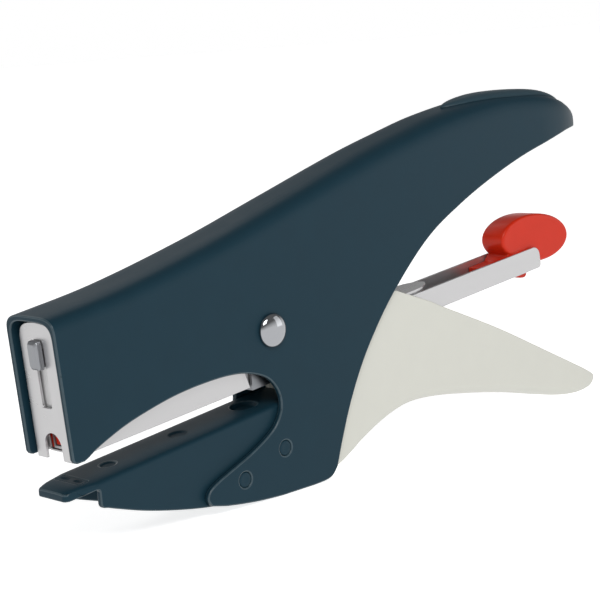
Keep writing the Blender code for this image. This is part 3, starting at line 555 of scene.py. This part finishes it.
# %% [markdown]
# The rivets themselves are turned. Each pair in the profile is a depth below the rivet's end and a
# radius, and the end is dished a little, as the rivet set leaves it.

# %% Flush rivets
RIVET_SUNK = 0.12
RIVET_PROFILE = [(2.2, 1.9), (0.25, 1.9), (0.1, 1.8), (0.0, 1.55), (0.08, 0.9), (0.1, 0.2)]
for end, spot in ARM_RIVETS.items():
    for side, label in ((-1, "left"), (1, "right")):
        face = SHELL_HALF - RIVET_SUNK
        profile = [(side * (face - depth), radius) for depth, radius in RIVET_PROFILE]
        rivet = turned(f"flush_rivet_{end}_{label}", profile, spot.x, spot.z, 40)
        rivet.data.shade_smooth()
        show(rivet, SLATE, "frame", "slate_paint", f"arm_rivet_{end}_{label}")

# %% [markdown]
# ## The palm pad
# A lens of softer plastic is let into the back of the handle where the heel of the hand presses. It
# follows the handle's own surface, so its underside and its top are both read from the crown, and its
# rim is rounded down to the handle.

# %% Palm pad
PAD_START, PAD_END = 139.0, 190.0
PAD_HALF = 6.4
PAD_GAP = 0.06
PAD_RISE = 1.2
PAD_RINGS = 60
NEAR_POINT = 0.992
rings = []
for k in range(PAD_RINGS + 1):
    share = -NEAR_POINT + 2 * NEAR_POINT * k / PAD_RINGS
    x = (PAD_START + PAD_END) / 2 + (PAD_END - PAD_START) / 2 * share
    half = PAD_HALF * (1 - abs(share) ** 2.2) ** 0.7
    under = [(x, -half + half * i / 12, crown_surface(x, -half + half * i / 12) + PAD_GAP)
             for i in range(25)]
    over = []
    for i in range(33):
        across = 1 - 2 * i / 32
        rise = PAD_RISE * (1 - abs(across) ** 3) ** 0.62 * (1 - 0.6 * abs(share) ** 6)
        over.append((x, half * across, crown_surface(x, half * across) + PAD_GAP + rise))
    rings.append(under + over)
pad = skin("palm_pad_moulding", rings)
pad.data.shade_smooth()
pad.data.set_sharp_from_angle(angle=math.radians(60))
show(pad, PAD, "frame", "slate_pad", "palm_pad")

# %% [markdown]
# ## The anvil arm
# The arm under the jaw is a channel pressed from thicker sheet, open below, and its tip narrows to a
# rounded tongue that bends down a little. Its top has two shallow locating dents and a round seat by the
# throat, and a hardened insert near the tip holds two grooves that curl the staple's legs.

# %% Anvil arm
ARM_HALF = span("anvil_arm")[1].y
ARM_SHEET = 1.5
ARM_FRONT = span("anvil_arm")[0].x
ARM_REAR = 76.0
ARM_RISE = 0.116
TONGUE_REAR, TONGUE_TAPER = 9.5, 2.0
ANVIL_X, ANVIL_HALF, ANVIL_LENGTH = 7.4, 4.6, 2.6
ANVIL_GAP = 0.08
SKIRT_X, SKIRT_ROUND, LIP_HEIGHT = 9.7, 1.2, 2.0


def arm_top(x):
    """The height of the arm's top, which climbs backwards and droops at the tongue."""
    return 15.3 + ARM_RISE * x - 0.05 * max(0.0, 5.0 - x) ** 2


def arm_half(x, inset=0.0):
    """Half the arm's width at x, or of its hollow when inset by the sheet."""
    share = max(0.0, min(1.0, (TONGUE_REAR - x) / (TONGUE_REAR - ARM_FRONT)))
    return ARM_HALF - inset - TONGUE_TAPER * share


arm = folded_sheet("jaw_arm", spaced(ARM_FRONT, TONGUE_REAR, 0.8) + spaced(12, ARM_REAR, 8), arm_half,
                   arm_top, lambda x: 2.2, power=5, side=1, reach=-10, steps=16)
belly = smooth([(11.6, 9.6), (14.5, 8.6), (22.2, 6.2), (31.5, 4.0), (41.1, 2.3), (52.0, 1.3),
                (62.0, 1.02), (72.0, 1.02)], 6)
lip_under = arm_top(SKIRT_X) - LIP_HEIGHT
side_view = ([(ARM_FRONT - 2, 30), (ARM_FRONT - 2, 12.9), (ARM_FRONT + 1.2, 12.95),
              (SKIRT_X - 0.4, lip_under), (SKIRT_X, lip_under - 0.4)]
             + arc((SKIRT_X + SKIRT_ROUND, 10.95), SKIRT_ROUND, 180, 250, 8) + belly
             + [(74.5, 2.0), (ARM_REAR, 4.5), (ARM_REAR, 12), (69.0, 40)])
trimmed(arm, side_view)
CORNER = 1.3
tip_half = arm_half(ARM_FRONT)
tip_plan = ([(90, -9), (12, -9), (9, -tip_half - 2.2)]
            + arc((ARM_FRONT + CORNER, -tip_half + CORNER), CORNER, -105, -180, 8)
            + arc((ARM_FRONT + CORNER, tip_half - CORNER), CORNER, 180, 105, 8)
            + [(9, tip_half + 2.2), (12, 9), (90, 9)])
cut(arm, skin("tip_trim", [[(x, y, z) for x, y in tip_plan] for z in (-5, 40)]), how="INTERSECT")
arm_hollow = folded_sheet("arm_hollow", [ARM_FRONT + 1.5, TONGUE_REAR, ARM_REAR + 5],
                          lambda x: arm_half(x, ARM_SHEET), lambda x: arm_top(x) - ARM_SHEET,
                          lambda x: 1.6, power=6, side=1, reach=-14, steps=8)
window_front = ANVIL_X - ANVIL_LENGTH / 2 - ANVIL_GAP
window_rear = ANVIL_X + ANVIL_LENGTH / 2 + ANVIL_GAP
window = prism("window", [(window_front, 10), (window_rear, 10), (window_rear, 20), (window_front, 20)],
               -ANVIL_HALF - ANVIL_GAP, ANVIL_HALF + ANVIL_GAP)
cut(arm, arm_hollow, window)
print("arm trimmed to a tongue", round(2 * tip_half, 1), "mm wide")

# %% [markdown]
# A dent is pressed with a round-nosed tool. Its rings give (height over the arm's top in parts of the
# depth, share of the radius), and the first stands well above the sheet, so that the cut is clean.

# %% Dents in the arm
DENT_CLEAR = 3.0
DENT_PROFILE = ((0.0, 1.12), (-0.45, 0.98), (-0.85, 0.86), (-1.0, 0.68))


def dent(name, x, radius, depth):
    """A round-bottomed tool that presses a dent into the arm's top."""
    slant = math.atan(ARM_RISE)
    up = Vector((-math.sin(slant), 0, math.cos(slant)))
    along = Vector((math.cos(slant), 0, math.sin(slant)))
    across = Vector((0, 1, 0))
    turns = [2 * math.pi * i / 40 for i in range(40)]
    rings = []
    for height, share in [(DENT_CLEAR, 1.35)] + [(part * depth, share) for part, share in DENT_PROFILE]:
        middle = Vector((x, 0, arm_top(x))) + up * height
        rings.append([tuple(middle + (along * math.cos(a) + across * math.sin(a)) * radius * share)
                      for a in turns])
    return skin(name, rings)


cut(arm, dent("dent_front", 17.8, 1.9, 0.5), dent("dent_middle", 38.9, 2.3, 0.55),
    dent("seat", 60.2, 3.2, 1.0))
tidy(arm)
round_edges(arm, 0.3)
# the bevelled edges of the arm get the paler coat, a painted highlight
show(arm, SLATE, "frame", "slate_paint", "anvil_arm", edge=SLATE_EDGE_HIGHLIGHT)

# %% [markdown]
# The insert sits flush in its window. Each groove is a shallow scoop that climbs outwards, which is what
# turns a staple's leg in on itself.

# %% Anvil insert
ANVIL_SUNK = 0.12
GROOVE_HALF = 0.95
GROOVE_START, GROOVE_LENGTH, GROOVE_DEPTH = 0.5, 3.8, 0.62
x0, x1 = ANVIL_X - ANVIL_LENGTH / 2, ANVIL_X + ANVIL_LENGTH / 2
insert = prism("clinch_insert", [(x0, arm_top(x0) - ARM_SHEET), (x1, arm_top(x1) - ARM_SHEET),
                                 (x1, arm_top(x1) - ANVIL_SUNK), (x0, arm_top(x0) - ANVIL_SUNK)],
               -ANVIL_HALF, ANVIL_HALF)
scoops = []
for side in (-1, 1):
    rings = []
    for k in range(13):
        share = k / 12
        y = side * (GROOVE_START + GROOVE_LENGTH * share)
        depth = GROOVE_DEPTH * math.sin(math.pi * min(0.97, max(0.03, share))) ** 0.6
        above = arm_top(ANVIL_X) + 0.55
        rings.append([(ANVIL_X + GROOVE_HALF * math.cos(a), y, above - (depth + 0.45) * math.sin(a))
                      for a in (math.pi * i / 10 for i in range(11))])
    scoops.append(skin(f"scoop_{side + 1}", rings))
cut(insert, *scoops)
tidy(insert)
round_edges(insert, 0.1, rounds=2)
show(insert, SLATE, "frame", "slate_paint", "anvil_plate")

# %% [markdown]
# ## The main rivet
# One big chrome rivet is the pivot of everything. Its head is a low dome with a thin cylindrical rim,
# turned from a profile that follows an ellipse.

# %% Main rivet
SHANK_R = 2.0
RIVET_HEAD_R = 4.2
RIM_HEIGHT = 0.35
head_top = span("main_rivet")[1].y
under = SHELL_HALF + 0.05
rim = under + RIM_HEIGHT
head_dome = [(rim + (head_top - under - RIM_HEIGHT) * math.sin(a), max(0.02, RIVET_HEAD_R * math.cos(a)))
             for a in (math.radians(5 * k) for k in range(1, 19))]
right = [(under, SHANK_R), (under, RIVET_HEAD_R - 0.25), (under + 0.1, RIVET_HEAD_R - 0.05),
         (rim, RIVET_HEAD_R)] + head_dome
rivet = turned("pivot_rivet", [(-y, r) for y, r in reversed(right)] + right, PIVOT.x, PIVOT.z, 96)
rivet.data.shade_smooth()
rivet.data.set_sharp_from_angle(angle=math.radians(50))
show(rivet, CHROME, "frame", "chrome", "main_rivet")

# %% [markdown]
# ## The lower handle
# The cream handle is a trough: two cheeks joined by a rounded bottom, made the same way as the upper
# handle but turned over. Its front runs forward between the plates as a lobe round the rivet.

# %% Lower handle
TROUGH = [(60, 0.4), (80, 0.4), (84, 0.7), (89, 3.0), (94.5, 6.0), (103, 9.6), (112, 11.8),
          (122.5, 11.7), (136.5, 9.8), (154, 6.5), (170, 2.6), (178, 0.8), (184, 0.0),
          (190, 0.1), (194, 0.9), (HANDLE_END, 2.6)]
HANDLE_TOP = [(72, 50.2), (85, 50.0), (100, 46.8), (120, 39.4), (127, 36.3), (149.5, 26.3),
              (170.7, 15.7), (191, 5.6), (HANDLE_END, 3.2)]
HANDLE_TAPER = 15.9
LOBE_R = 8.8
LEVER_PIN_HOLE_R = 1.5


def trough(x):
    return height_along(TROUGH, x)


def handle_half(x, inset=0.0):
    """Half the lower handle's width at x, or of its hollow when inset by the sheet."""
    t = max(0.0, (x - HANDLE_END + HANDLE_TAPER) / (HANDLE_TAPER + 0.2 - 1.2 * inset))
    return (HANDLE_HALF - inset) * max(0.0, 1 - t ** 3) ** 0.5


near_end = [HANDLE_END - back for back in (0.0, 0.25, 0.7, 1.3, 2.0, 3.0, 4.0)]
handle = folded_sheet("cream_handle", spaced(48, HANDLE_END - 5.5, 3, near_end), handle_half, trough,
                      lambda x: 3.4, power=2.6, side=-1, reach=70, steps=16)
front = smooth([(68.5, 30.5), (74.0, 24.0), (78.5, 16.0), (80.0, 8.0), (81.2, 3.0), (82.2, -3.0)], 6)
cheek = (list(reversed(smooth(HANDLE_TOP, 8))) + arc((PIVOT.x, PIVOT.z), LOBE_R, 80, 250, 30) + front
         + [(100, -3), (HANDLE_END + 3, -3)])
trimmed(handle, cheek)
hollow = folded_sheet("hollow", spaced(44, HANDLE_END - 6, 4, (HANDLE_END - 3.5,)),
                      lambda x: handle_half(x, HANDLE_SHEET), lambda x: trough(x) + HANDLE_SHEET,
                      lambda x: 3.0, power=2.6, side=-1, reach=74, steps=12)
holes = [punch("hole", PIVOT_HOLE_R, PIVOT.x, PIVOT.z, 48)]
for end in ("front", "rear"):
    pin = centre(f"lever_pin_{end}")
    holes.append(punch(f"hole_{end}", LEVER_PIN_HOLE_R, pin.x, pin.z, 32))
cut(handle, hollow, *holes)
tidy(handle)
round_edges(handle, 0.3)
show(handle, CREAM, "handle", "cream_paint", "lower_handle")

# %% [markdown]
# ## The nose
# The bright plate in the nose is the front of the magazine. It has an arched top, a long slot for the
# driver's lug, and a half-round window at the bottom where the staple leaves. Its sides are folded back
# as wings along the rail. The plate's edges are rounded by the press.

# %% Nose plate with its wings
HEAD_HALF = span("front_head")[1].y
HEAD_SHEET = 0.8
PLATE_RECESS = 1.5
PLATE_BOTTOM = 27.9
CUTOUT_R = 3.2
SLOT_HALF, SLOT_TOP, SLOT_BOTTOM, SLOT_ROUND = 1.8, 1.0, 15.8, 0.5
top = smooth([(HEAD_HALF, -0.5), (5.9, -2.3), (4.2, -3.4), (2.1, -3.8), (0.0, -3.95)], 6)
outline = ([(HEAD_HALF, PLATE_BOTTOM)] + top + [(-y, s) for y, s in reversed(top[:-1])]
           + [(-HEAD_HALF, PLATE_BOTTOM), (-CUTOUT_R, PLATE_BOTTOM)]
           + arc((0, PLATE_BOTTOM - 3.0), -CUTOUT_R, 0, 180, 24)
           + [(CUTOUT_R, PLATE_BOTTOM)])
head = frontal("nose_plate", outline, PLATE_RECESS, PLATE_RECESS + HEAD_SHEET)
slot_side, slot_end = SLOT_HALF - SLOT_ROUND, SLOT_BOTTOM - SLOT_ROUND
slot_outline = ([(-SLOT_HALF, SLOT_TOP), (SLOT_HALF, SLOT_TOP), (SLOT_HALF, slot_end)]
                + arc((slot_side, slot_end), SLOT_ROUND, 0, 90, 4)
                + arc((-slot_side, slot_end), SLOT_ROUND, 90, 180, 4))
cut(head, frontal("slot", slot_outline, 0, 6))
wings = []
for side in (-1, 1):
    low, high = sorted((side * (HEAD_HALF - HEAD_SHEET), side * HEAD_HALF))
    front_edge = [on_nose(s, PLATE_RECESS + 0.1) for s in (0, PLATE_BOTTOM - 0.8)]
    wing = front_edge + rail_line([(6.5, 0), (57.6, 0), (56.4, 5.0), (54.6, 7.6), (18.0, 7.6),
                                   (11.5, 9.5), (9.0, 14.0), (9.5, 26.0)])
    wings.append(prism(f"wing_{side + 1}", wing, low, high))
cut(head, *wings, how="UNION")
tidy(head)
round_edges(head, 0.16)
show(head, NICKEL, "magazine", "nickel_plate", "front_head")

# %% [markdown]
# The driver's lug is a small cast block that slides in the slot. It has a flat raised face and sloping
# sides, so that it reads as a facetted button, and a neck through the slot joins it to the blade.

# %% Driver lug
LUG_HALF = span("driver_lug")[1].y
LUG_TOP, LUG_HEIGHT = 0.05, 6.7
CHAMFER_Y, CHAMFER_S = 0.4, 0.8
lug_bottom = LUG_TOP + LUG_HEIGHT
middle = LUG_TOP + LUG_HEIGHT / 2
right = [(LUG_HALF - CHAMFER_Y, LUG_TOP), (LUG_HALF, LUG_TOP + CHAMFER_S),
         (LUG_HALF, lug_bottom - CHAMFER_S), (LUG_HALF - CHAMFER_Y, lug_bottom)]
left = [(-y, s) for y, s in reversed(right)]
face = left[-1:] + right + left[:-1]
rings = []
for r, share, rise in ((-0.45, 0.66, 0.8), (0.15, 0.97, 0.98), (PLATE_RECESS - 0.15, 1.0, 1.0)):
    ring = []
    for y, s in face:
        x, z = on_nose(middle + (s - middle) * rise, r)
        ring.append((x, y * share, z))
    rings.append(ring)
lug = skin("lug_block", rings)
neck = [(-1.45, LUG_TOP + 2.3), (1.45, LUG_TOP + 2.3), (1.45, LUG_TOP + 6.2), (-1.45, LUG_TOP + 6.2)]
cut(lug, frontal("neck", neck, 0.5, PLATE_RECESS + HEAD_SHEET + 0.2), how="UNION")
round_edges(lug, 0.16, angle=14)
show(lug, LUG_STEEL, "driver", "dark_steel", "driver_lug")

# %% [markdown]
# ## The rail
# The staple rail is a channel of thin plated sheet with its top open at the back, where the bare inside
# of its far wall shows. Its end is rounded so that it can't catch, and a slot in its floor lets the catch
# through. It is thin sheet, so its edges get only a hair of a bevel.

# %% Channel
END_ROUND_HIGH, END_ROUND_LOW = 2.6, 1.0
BEND_R = 0.5
CATCH_SLOT_START, CATCH_SLOT_HALF = 158, 2.1
rear_end = (arc((MAG_REAR - END_ROUND_HIGH, MAG_HEIGHT - END_ROUND_HIGH), END_ROUND_HIGH, 90, 0, 14)
            + arc((MAG_REAR - END_ROUND_LOW, END_ROUND_LOW), END_ROUND_LOW, 0, -90, 8))
channel = prism("staple_channel", rail_line([(MAG_FRONT, 0), (MAG_FRONT, MAG_HEIGHT)] + rear_end),
                -MAG_HALF, MAG_HALF)
inner = MAG_HALF - MAG_WALL
bend = arc((inner - BEND_R, MAG_WALL + BEND_R), BEND_R, 0, -90, 5)
section = [(inner, 20), (inner, MAG_WALL + BEND_R)] + bend[1:]
section += [(-y, v) for y, v in reversed(section)]
inside = skin("inside", [[rail_section(u, v, y) for y, v in section] for u in (-5, 190)])
floor_slot = prism("floor_slot", rail_line([(CATCH_SLOT_START, -3), (CATCH_SLOT_START, 3), (190, 3),
                                            (190, -3)]), -CATCH_SLOT_HALF, CATCH_SLOT_HALF)
cut(channel, inside, floor_slot)
tidy(channel)
round_edges(channel, 0.17)
show(channel, NICKEL, "magazine", "nickel_plate", "magazine_channel")

# %% [markdown]
# The lid lies between the channel's walls and keeps the staples down. Its rear part is raised a little
# and has two flanges for stiffness, and it ends in a round nose that guides a new strip of staples in.

# %% Lid
LID_REAR, LID_STEP, LID_RISE, LID_SHEET = 129.0, 70.0, 0.9, 0.55
LID_RAMP, FLANGE_SHEET, FLANGE_FOOT = 3.0, 0.5, 5.2
LID_HALF = inner - GAP
low, high = MAG_HEIGHT - LID_SHEET, MAG_HEIGHT
raised = high + LID_RISE
lid = prism("staple_lid", rail_line([(MAG_FRONT + 1, low), (LID_STEP, low),
                                     (LID_STEP + LID_RAMP, low + LID_RISE), (LID_REAR, low + LID_RISE),
                                     (LID_REAR, raised), (LID_STEP + LID_RAMP - 0.4, raised),
                                     (LID_STEP - 0.4, high), (MAG_FRONT + 1, high)]), -LID_HALF, LID_HALF)
for side in (-1, 1):
    y_low, y_high = sorted((side * LID_HALF, side * (LID_HALF - FLANGE_SHEET)))
    flange = prism("flange", rail_line([(LID_STEP + 4, FLANGE_FOOT), (LID_REAR, FLANGE_FOOT),
                                        (LID_REAR, raised - 0.1), (LID_STEP + 4, raised - 0.1)]),
                   y_low, y_high)
    cut(lid, flange, how="UNION")
round_nose = smooth([(LID_REAR - 7.4, -LID_HALF), (LID_REAR - 4, -LID_HALF + 0.5),
                     (LID_REAR - 1.3, -LID_HALF + 2.2), (LID_REAR - 0.1, 0),
                     (LID_REAR - 1.3, LID_HALF - 2.2), (LID_REAR - 4, LID_HALF - 0.5),
                     (LID_REAR - 7.4, LID_HALF)], 6)
round_plan = ([(0, -9), (LID_REAR - 7.5, -9), (LID_REAR - 7.5, -LID_HALF)] + round_nose
              + [(LID_REAR - 7.5, 9), (0, 9)])
cut(lid, skin("round_plan", [[rail_section(u, v, y) for u, y in round_plan] for v in (-3, 12)]),
    how="INTERSECT")
tidy(lid)
round_edges(lid, 0.12, rounds=2)
show(lid, NICKEL, "magazine", "nickel_plate", "magazine_cover")

# %% [markdown]
# ## The loader
# The knob is a slab with the outline of an ellipse. Its rim is rounded, and its faces are very slightly
# dished, which keeps the highlight soft.

# %% Thumb knob
KNOB = (171.7, 48.5)
KNOB_LONG, KNOB_SHORT, KNOB_HALF = 14.8, 6.9, 4.0
KNOB_TILT = math.radians(-4.0)
RIM_ROUND = 0.85
KNOB_SIDES = 112
sections = [(-(KNOB_HALF - 0.12), 0.45), (-(KNOB_HALF - 0.04), 0.75)]
sections += [(-(KNOB_HALF - RIM_ROUND) - RIM_ROUND * math.sin(a),
              1 - RIM_ROUND / KNOB_SHORT * (1 - math.cos(a)))
             for a in (math.radians(90 - 15 * k) for k in range(7))]
sections += [(-y, share) for y, share in reversed(sections)]
rings = []
for y, share in sections:
    ring = []
    for i in range(KNOB_SIDES):
        a = 2 * math.pi * i / KNOB_SIDES
        u = (KNOB_LONG - KNOB_SHORT * (1 - share)) * math.cos(a)
        v = KNOB_SHORT * share * math.sin(a)
        ring.append((KNOB[0] + u * math.cos(KNOB_TILT) - v * math.sin(KNOB_TILT), y,
                     KNOB[1] + u * math.sin(KNOB_TILT) + v * math.cos(KNOB_TILT)))
    rings.append(ring)
knob = skin("red_knob", rings)
print("knob", 2 * KNOB_LONG, "mm long")

# %% [markdown]
# A waisted neck joins the knob to a plug that slides in the channel. The plug is hollow, to hold the
# catch and its spring.

# %% Plug, neck and the finished knob
PLUG_FLOOR = MAG_WALL + GAP
PLUG_FRONT, PLUG_REAR, PLUG_TOP = 152.5, 171.5, 6.2
CAVITY_HALF = 1.8
NECK_HALF = KNOB_HALF - 0.35
plug_side = ([(PLUG_FRONT, PLUG_FLOOR), (PLUG_FRONT, 4.7), (158.6, 4.7)]
             + arc((158.9, 6.0), 1.3, -90, -30, 6)
             + [(161.0, PLUG_TOP), (PLUG_REAR, PLUG_TOP), (PLUG_REAR, PLUG_FLOOR)])
plug = prism("plug", rail_line(plug_side), -LID_HALF, LID_HALF)
neck_side = [(160.0, 5.0), (160.6, 5.9)] + arc((162.6, 7.4), 1.9, 200, 130, 6)
neck_side += [(161.5, 10.0), (171.0, 9.5), (171.0, 5.0)]
neck = prism("neck", rail_line(neck_side), -NECK_HALF, NECK_HALF)
for piece in (plug, neck):
    round_edges(piece, 0.3)
    bake(piece)
cut(knob, plug, neck, how="UNION")
trim = prism("trim", rail_line([(140, -5), (140, PLUG_FLOOR), (200, PLUG_FLOOR), (200, -5)]), -9, 9)
cavity = prism("cavity", rail_line([(158.4, -1), (158.4, 3.8), (159.6, 4.9), (161.2, 4.9), (162.2, 6.0),
                                    (170.9, 6.0), (170.9, -1)]), -CAVITY_HALF, CAVITY_HALF)
cut(knob, trim, cavity)
knob.data.shade_smooth()
knob.data.set_sharp_from_angle(angle=math.radians(35))
show(knob, RED, "loader", "red_plastic", "thumb_knob")

# %% [markdown]
# Under the rail's end, a small catch is pressed up with a fingertip. It is a bar with a rounded nib, and
# its hinge pin is hidden in the plug.

# %% Catch
CATCH_PIN = (160.6, 2.9)
CATCH_HALF = 1.5
nib = smooth([(170.4, 0.2), (170.62, -0.7), (170.6, -1.5), (170.1, -2.2), (169.1, -2.42), (167.2, -2.0),
              (165.4, -1.3), (164.3, -0.6)], 6)
catch_outline = ([(161.4, 4.3), (170.4, 4.0)] + nib + [(164.2, 2.3), (162.0, 2.2)]
                 + arc(CATCH_PIN, 1.6, -40, -290, 24))
catch = prism("catch_bar", rail_line(catch_outline), -CATCH_HALF, CATCH_HALF)
cut(catch, turned("pin_hole", [(-5, 1.0), (5, 1.0)], *on_magazine(*CATCH_PIN), 24))
round_edges(catch, 0.3)
show(catch, RED, "latch", "red_plastic", "latch_tongue")

# %% [markdown]
# ## Springs
# A wire spring is a circle swept along a helix, with its last turn closed up so that it can stand flat.
# The pitch is eased at both ends for that. Each spring takes its ends from the frame's own spring.

# %% Coil springs
def coil(name, start, end, radius, wire, turns, sides=10, per_turn=26):
    """A spring between two points: radius to the wire's middle, wire as the wire's own radius."""
    a, b = Vector(start), Vector(end)
    turn = (b - a).to_track_quat("Z", "Y").to_matrix()
    length = (b - a).length - 2 * wire
    total = int(turns * per_turn)
    rings = []
    for k in range(total + 1):
        t = k / total
        angle = 2 * math.pi * turns * t
        eased = t + (math.sin(2 * math.pi * t) / (2 * math.pi)) * -0.6 / max(1.0, turns / 6)
        out = Vector((math.cos(angle), math.sin(angle), 0))
        middle = out * radius + Vector((0, 0, wire + length * eased))
        ring = []
        for i in range(sides):
            around = 2 * math.pi * i / sides
            ring.append(tuple(a + turn @ (middle + wire * (out * math.cos(around)
                                                         + Vector((0, 0, math.sin(around)))))))
        rings.append(ring)
    spring = skin(name, rings)
    spring.data.shade_smooth()
    return spring


def squeezed(spring, body, node):
    """Gives a finished spring its steel and its body, hides its CAD node, and gives it a mesh of its own.
    """
    show(spring, STEEL, body, "dark_steel", node)
    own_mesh(spring)


RETURN_X = 84.0
low, high = span("return_spring")
foot, top = (RETURN_X, 0, low.z), (RETURN_X, 0, high.z)
squeezed(coil("opening_spring", foot, top, 3.1, 0.6, 7), "frame", "return_spring")
low, high = span("driver_spring")
driver_x = (low.x + high.x) / 2
foot, top = (driver_x, 0, low.z), (driver_x, 0, high.z)
squeezed(coil("lever_spring", foot, top, 2.7, 0.45, 5), "magazine", "driver_spring")

# %% [markdown]
# The feed spring is long and thin. It lies round the guide rod between the pusher and the plug, and the
# catch's spring is a tiny one above its tail.

# %% Feed spring and catch spring
ROD_LEVEL = 3.1
CATCH_SPRING_U = 168.2
foot, top = rail_section(16.0, ROD_LEVEL, 0), rail_section(PLUG_FRONT - 0.4, ROD_LEVEL, 0)
squeezed(coil("feed_spring", foot, top, 1.2, 0.2, 60, 6, 14), "loader", "pusher_spring")
foot, top = rail_section(CATCH_SPRING_U, 4.35, 0), rail_section(CATCH_SPRING_U, 5.8, 0)
squeezed(coil("catch_spring", foot, top, 0.8, 0.15, 2.5, 8, 20), "loader", "latch_spring")

# %% [markdown]
# The pieces inside, such as the drive lever, the pins, the pusher and the bracket, keep the frame's own
# shapes and only get their real finishes. Most of them show only when the rail is drawn out or from
# behind.

# %% Finishes of the inner pieces
INNER = {STEEL: ["drive_lever", "lever_pin_front", "lever_pin_rear", "pivot_bush", "magazine_bracket",
                 "lug_rivet", "latch_pin"],
         NICKEL: ["staple_core"],
         SATIN: ["driver_blade"],
         CHROME: ["pusher_rod"],
         RED: ["pusher_head"],
         RUBBER: ["stop_buffer"]}
for material, names in INNER.items():
    for name in names:
        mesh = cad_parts[name].data
        mesh.materials.clear()
        mesh.materials.append(material)
        mesh.shade_smooth()
        mesh.set_sharp_from_angle(angle=math.radians(35))
print(sum(len(names) for names in INNER.values()), "inner pieces finished")

# %% [markdown]
# ## The set
# A pale paper floor that reaches to the horizon and glows a little, as on a light table, keeps shadows
# faint. The room is bright round the horizon and dim overhead, so that walls look clear and the
# top of the handle stays dark. A big soft light stands at the front left. The set isn't part of the
# object.

# %% Floor
FLOOR_RADIUS = 8.0
FLOOR_DROP = 0.0001
FLOOR_SIDES = 96
scene = bpy.context.scene
bm = bmesh.new()
bm.faces.new([bm.verts.new((FLOOR_RADIUS * math.cos(a), FLOOR_RADIUS * math.sin(a), -FLOOR_DROP))
              for a in (2 * math.pi * i / FLOOR_SIDES for i in range(FLOOR_SIDES))])
floor_mesh = bpy.data.meshes.new("studio_floor")
bm.to_mesh(floor_mesh)
bm.free()
floor = bpy.data.objects.new("studio_floor", floor_mesh)
scene.collection.objects.link(floor)
paper = finish("paper_sweep", (0.9, 0.9, 0.9), 0.9, uneven=0.02, patch=3, grain=40, depth=0.01, shade=0.01)
lit_paper = paper.node_tree.nodes["Principled BSDF"]
lit_paper.inputs["Emission Color"].default_value = (1, 1, 1, 1)
lit_paper.inputs["Emission Strength"].default_value = 0.8
floor_mesh.materials.append(paper)
floor.visible_glossy = False
floor.visible_diffuse = False
floor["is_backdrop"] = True
print("floor", 2 * FLOOR_RADIUS, "m across")

# %% [markdown]
# Big lights close to a small object give soft shadows and long, calm highlights. Each one is aimed at a
# point on the stapler, and the room itself is a gradient that gets darker with height.

# %% Lights and room
def soft_light(name, at, aim, size, power):
    """A rectangle of light, its sides in metres and its power in watts, that faces a point."""
    data = bpy.data.lights.new(name, "AREA")
    data.shape = "RECTANGLE"
    data.size, data.size_y = size
    data.energy = power
    light = bpy.data.objects.new(name, data)
    scene.collection.objects.link(light)
    light.location = at
    light.rotation_mode = "QUATERNION"
    light.rotation_quaternion = (Vector(aim) - Vector(at)).to_track_quat("-Z", "Y")
    return light


soft_light("key", (-0.45, -0.75, 0.85), (0, 0, 0.04), (0.7, 0.5), 6.4)
soft_light("fill", (0.8, -0.6, 0.35), (0, 0, 0.05), (0.5, 0.7), 0.8)
soft_light("back", (0.1, 0.8, 0.7), (0, 0, 0.06), (0.9, 0.4), 0.8)
world = bpy.data.worlds.new("pale_room")
world.use_nodes = True
scene.world = world
sky_nodes, sky_links = world.node_tree.nodes, world.node_tree.links
sky_nodes["Background"].inputs["Color"].default_value = (1, 1, 1, 1)
direction = sky_nodes.new("ShaderNodeTexCoord")
parts = sky_nodes.new("ShaderNodeSeparateXYZ")
sky_links.new(direction.outputs["Generated"], parts.inputs["Vector"])
dimming = sky_nodes.new("ShaderNodeMapRange")
ROOM_DIMS = {"From Min": 0.04, "From Max": 0.38, "To Min": 1.0, "To Max": 0.17}
for socket, value in ROOM_DIMS.items():
    dimming.inputs[socket].default_value = value
sky_links.new(parts.outputs["Z"], dimming.inputs["Value"])
sky_links.new(dimming.outputs["Result"], sky_nodes["Background"].inputs["Strength"])
print("three lights and a room that dims with height")

# %% [markdown]
# The camera looks from the front left and a little above, with a long lens. It is rolled a few degrees,
# which makes the stapler look as if it climbs to the right.

# %% Camera
VIEW = {"azimuth": -42.73, "elevation": 9.27, "roll": -4.31, "distance": 0.4306, "lens": 102.08}
azimuth, elevation = math.radians(VIEW["azimuth"]), math.radians(VIEW["elevation"])
back = Vector((math.sin(azimuth) * math.cos(elevation), -math.cos(azimuth) * math.cos(elevation),
               math.sin(elevation)))
level = Vector((math.cos(azimuth), math.sin(azimuth), 0))
roll = math.radians(VIEW["roll"])
across = level * math.cos(roll) + back.cross(level) * math.sin(roll)
camera_data = bpy.data.cameras.new("camera")
camera_data.lens = VIEW["lens"]
camera_data.clip_start = 0.01
camera_data.clip_end = 20
camera = bpy.data.objects.new("camera", camera_data)
scene.collection.objects.link(camera)
turn = Matrix((across, back.cross(across), back)).transposed()
camera.matrix_world = Matrix.Translation(place(81.85, 0, 45.08) + back * VIEW["distance"]) @ turn.to_4x4()
scene.camera = camera
scene.view_settings.view_transform = "Standard"
print("camera", VIEW["distance"], "m away, lens", VIEW["lens"], "mm")

# %% [markdown]
# Last, the box round everything that is drawn is printed, in millimetres. The finer meshes may not make
# the stapler any bigger than the frame says.

# %% The visual box, and the end
low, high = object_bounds()
print("visual box in mm:", [round((b - a) * 1000, 1) for a, b in zip(low, high)])
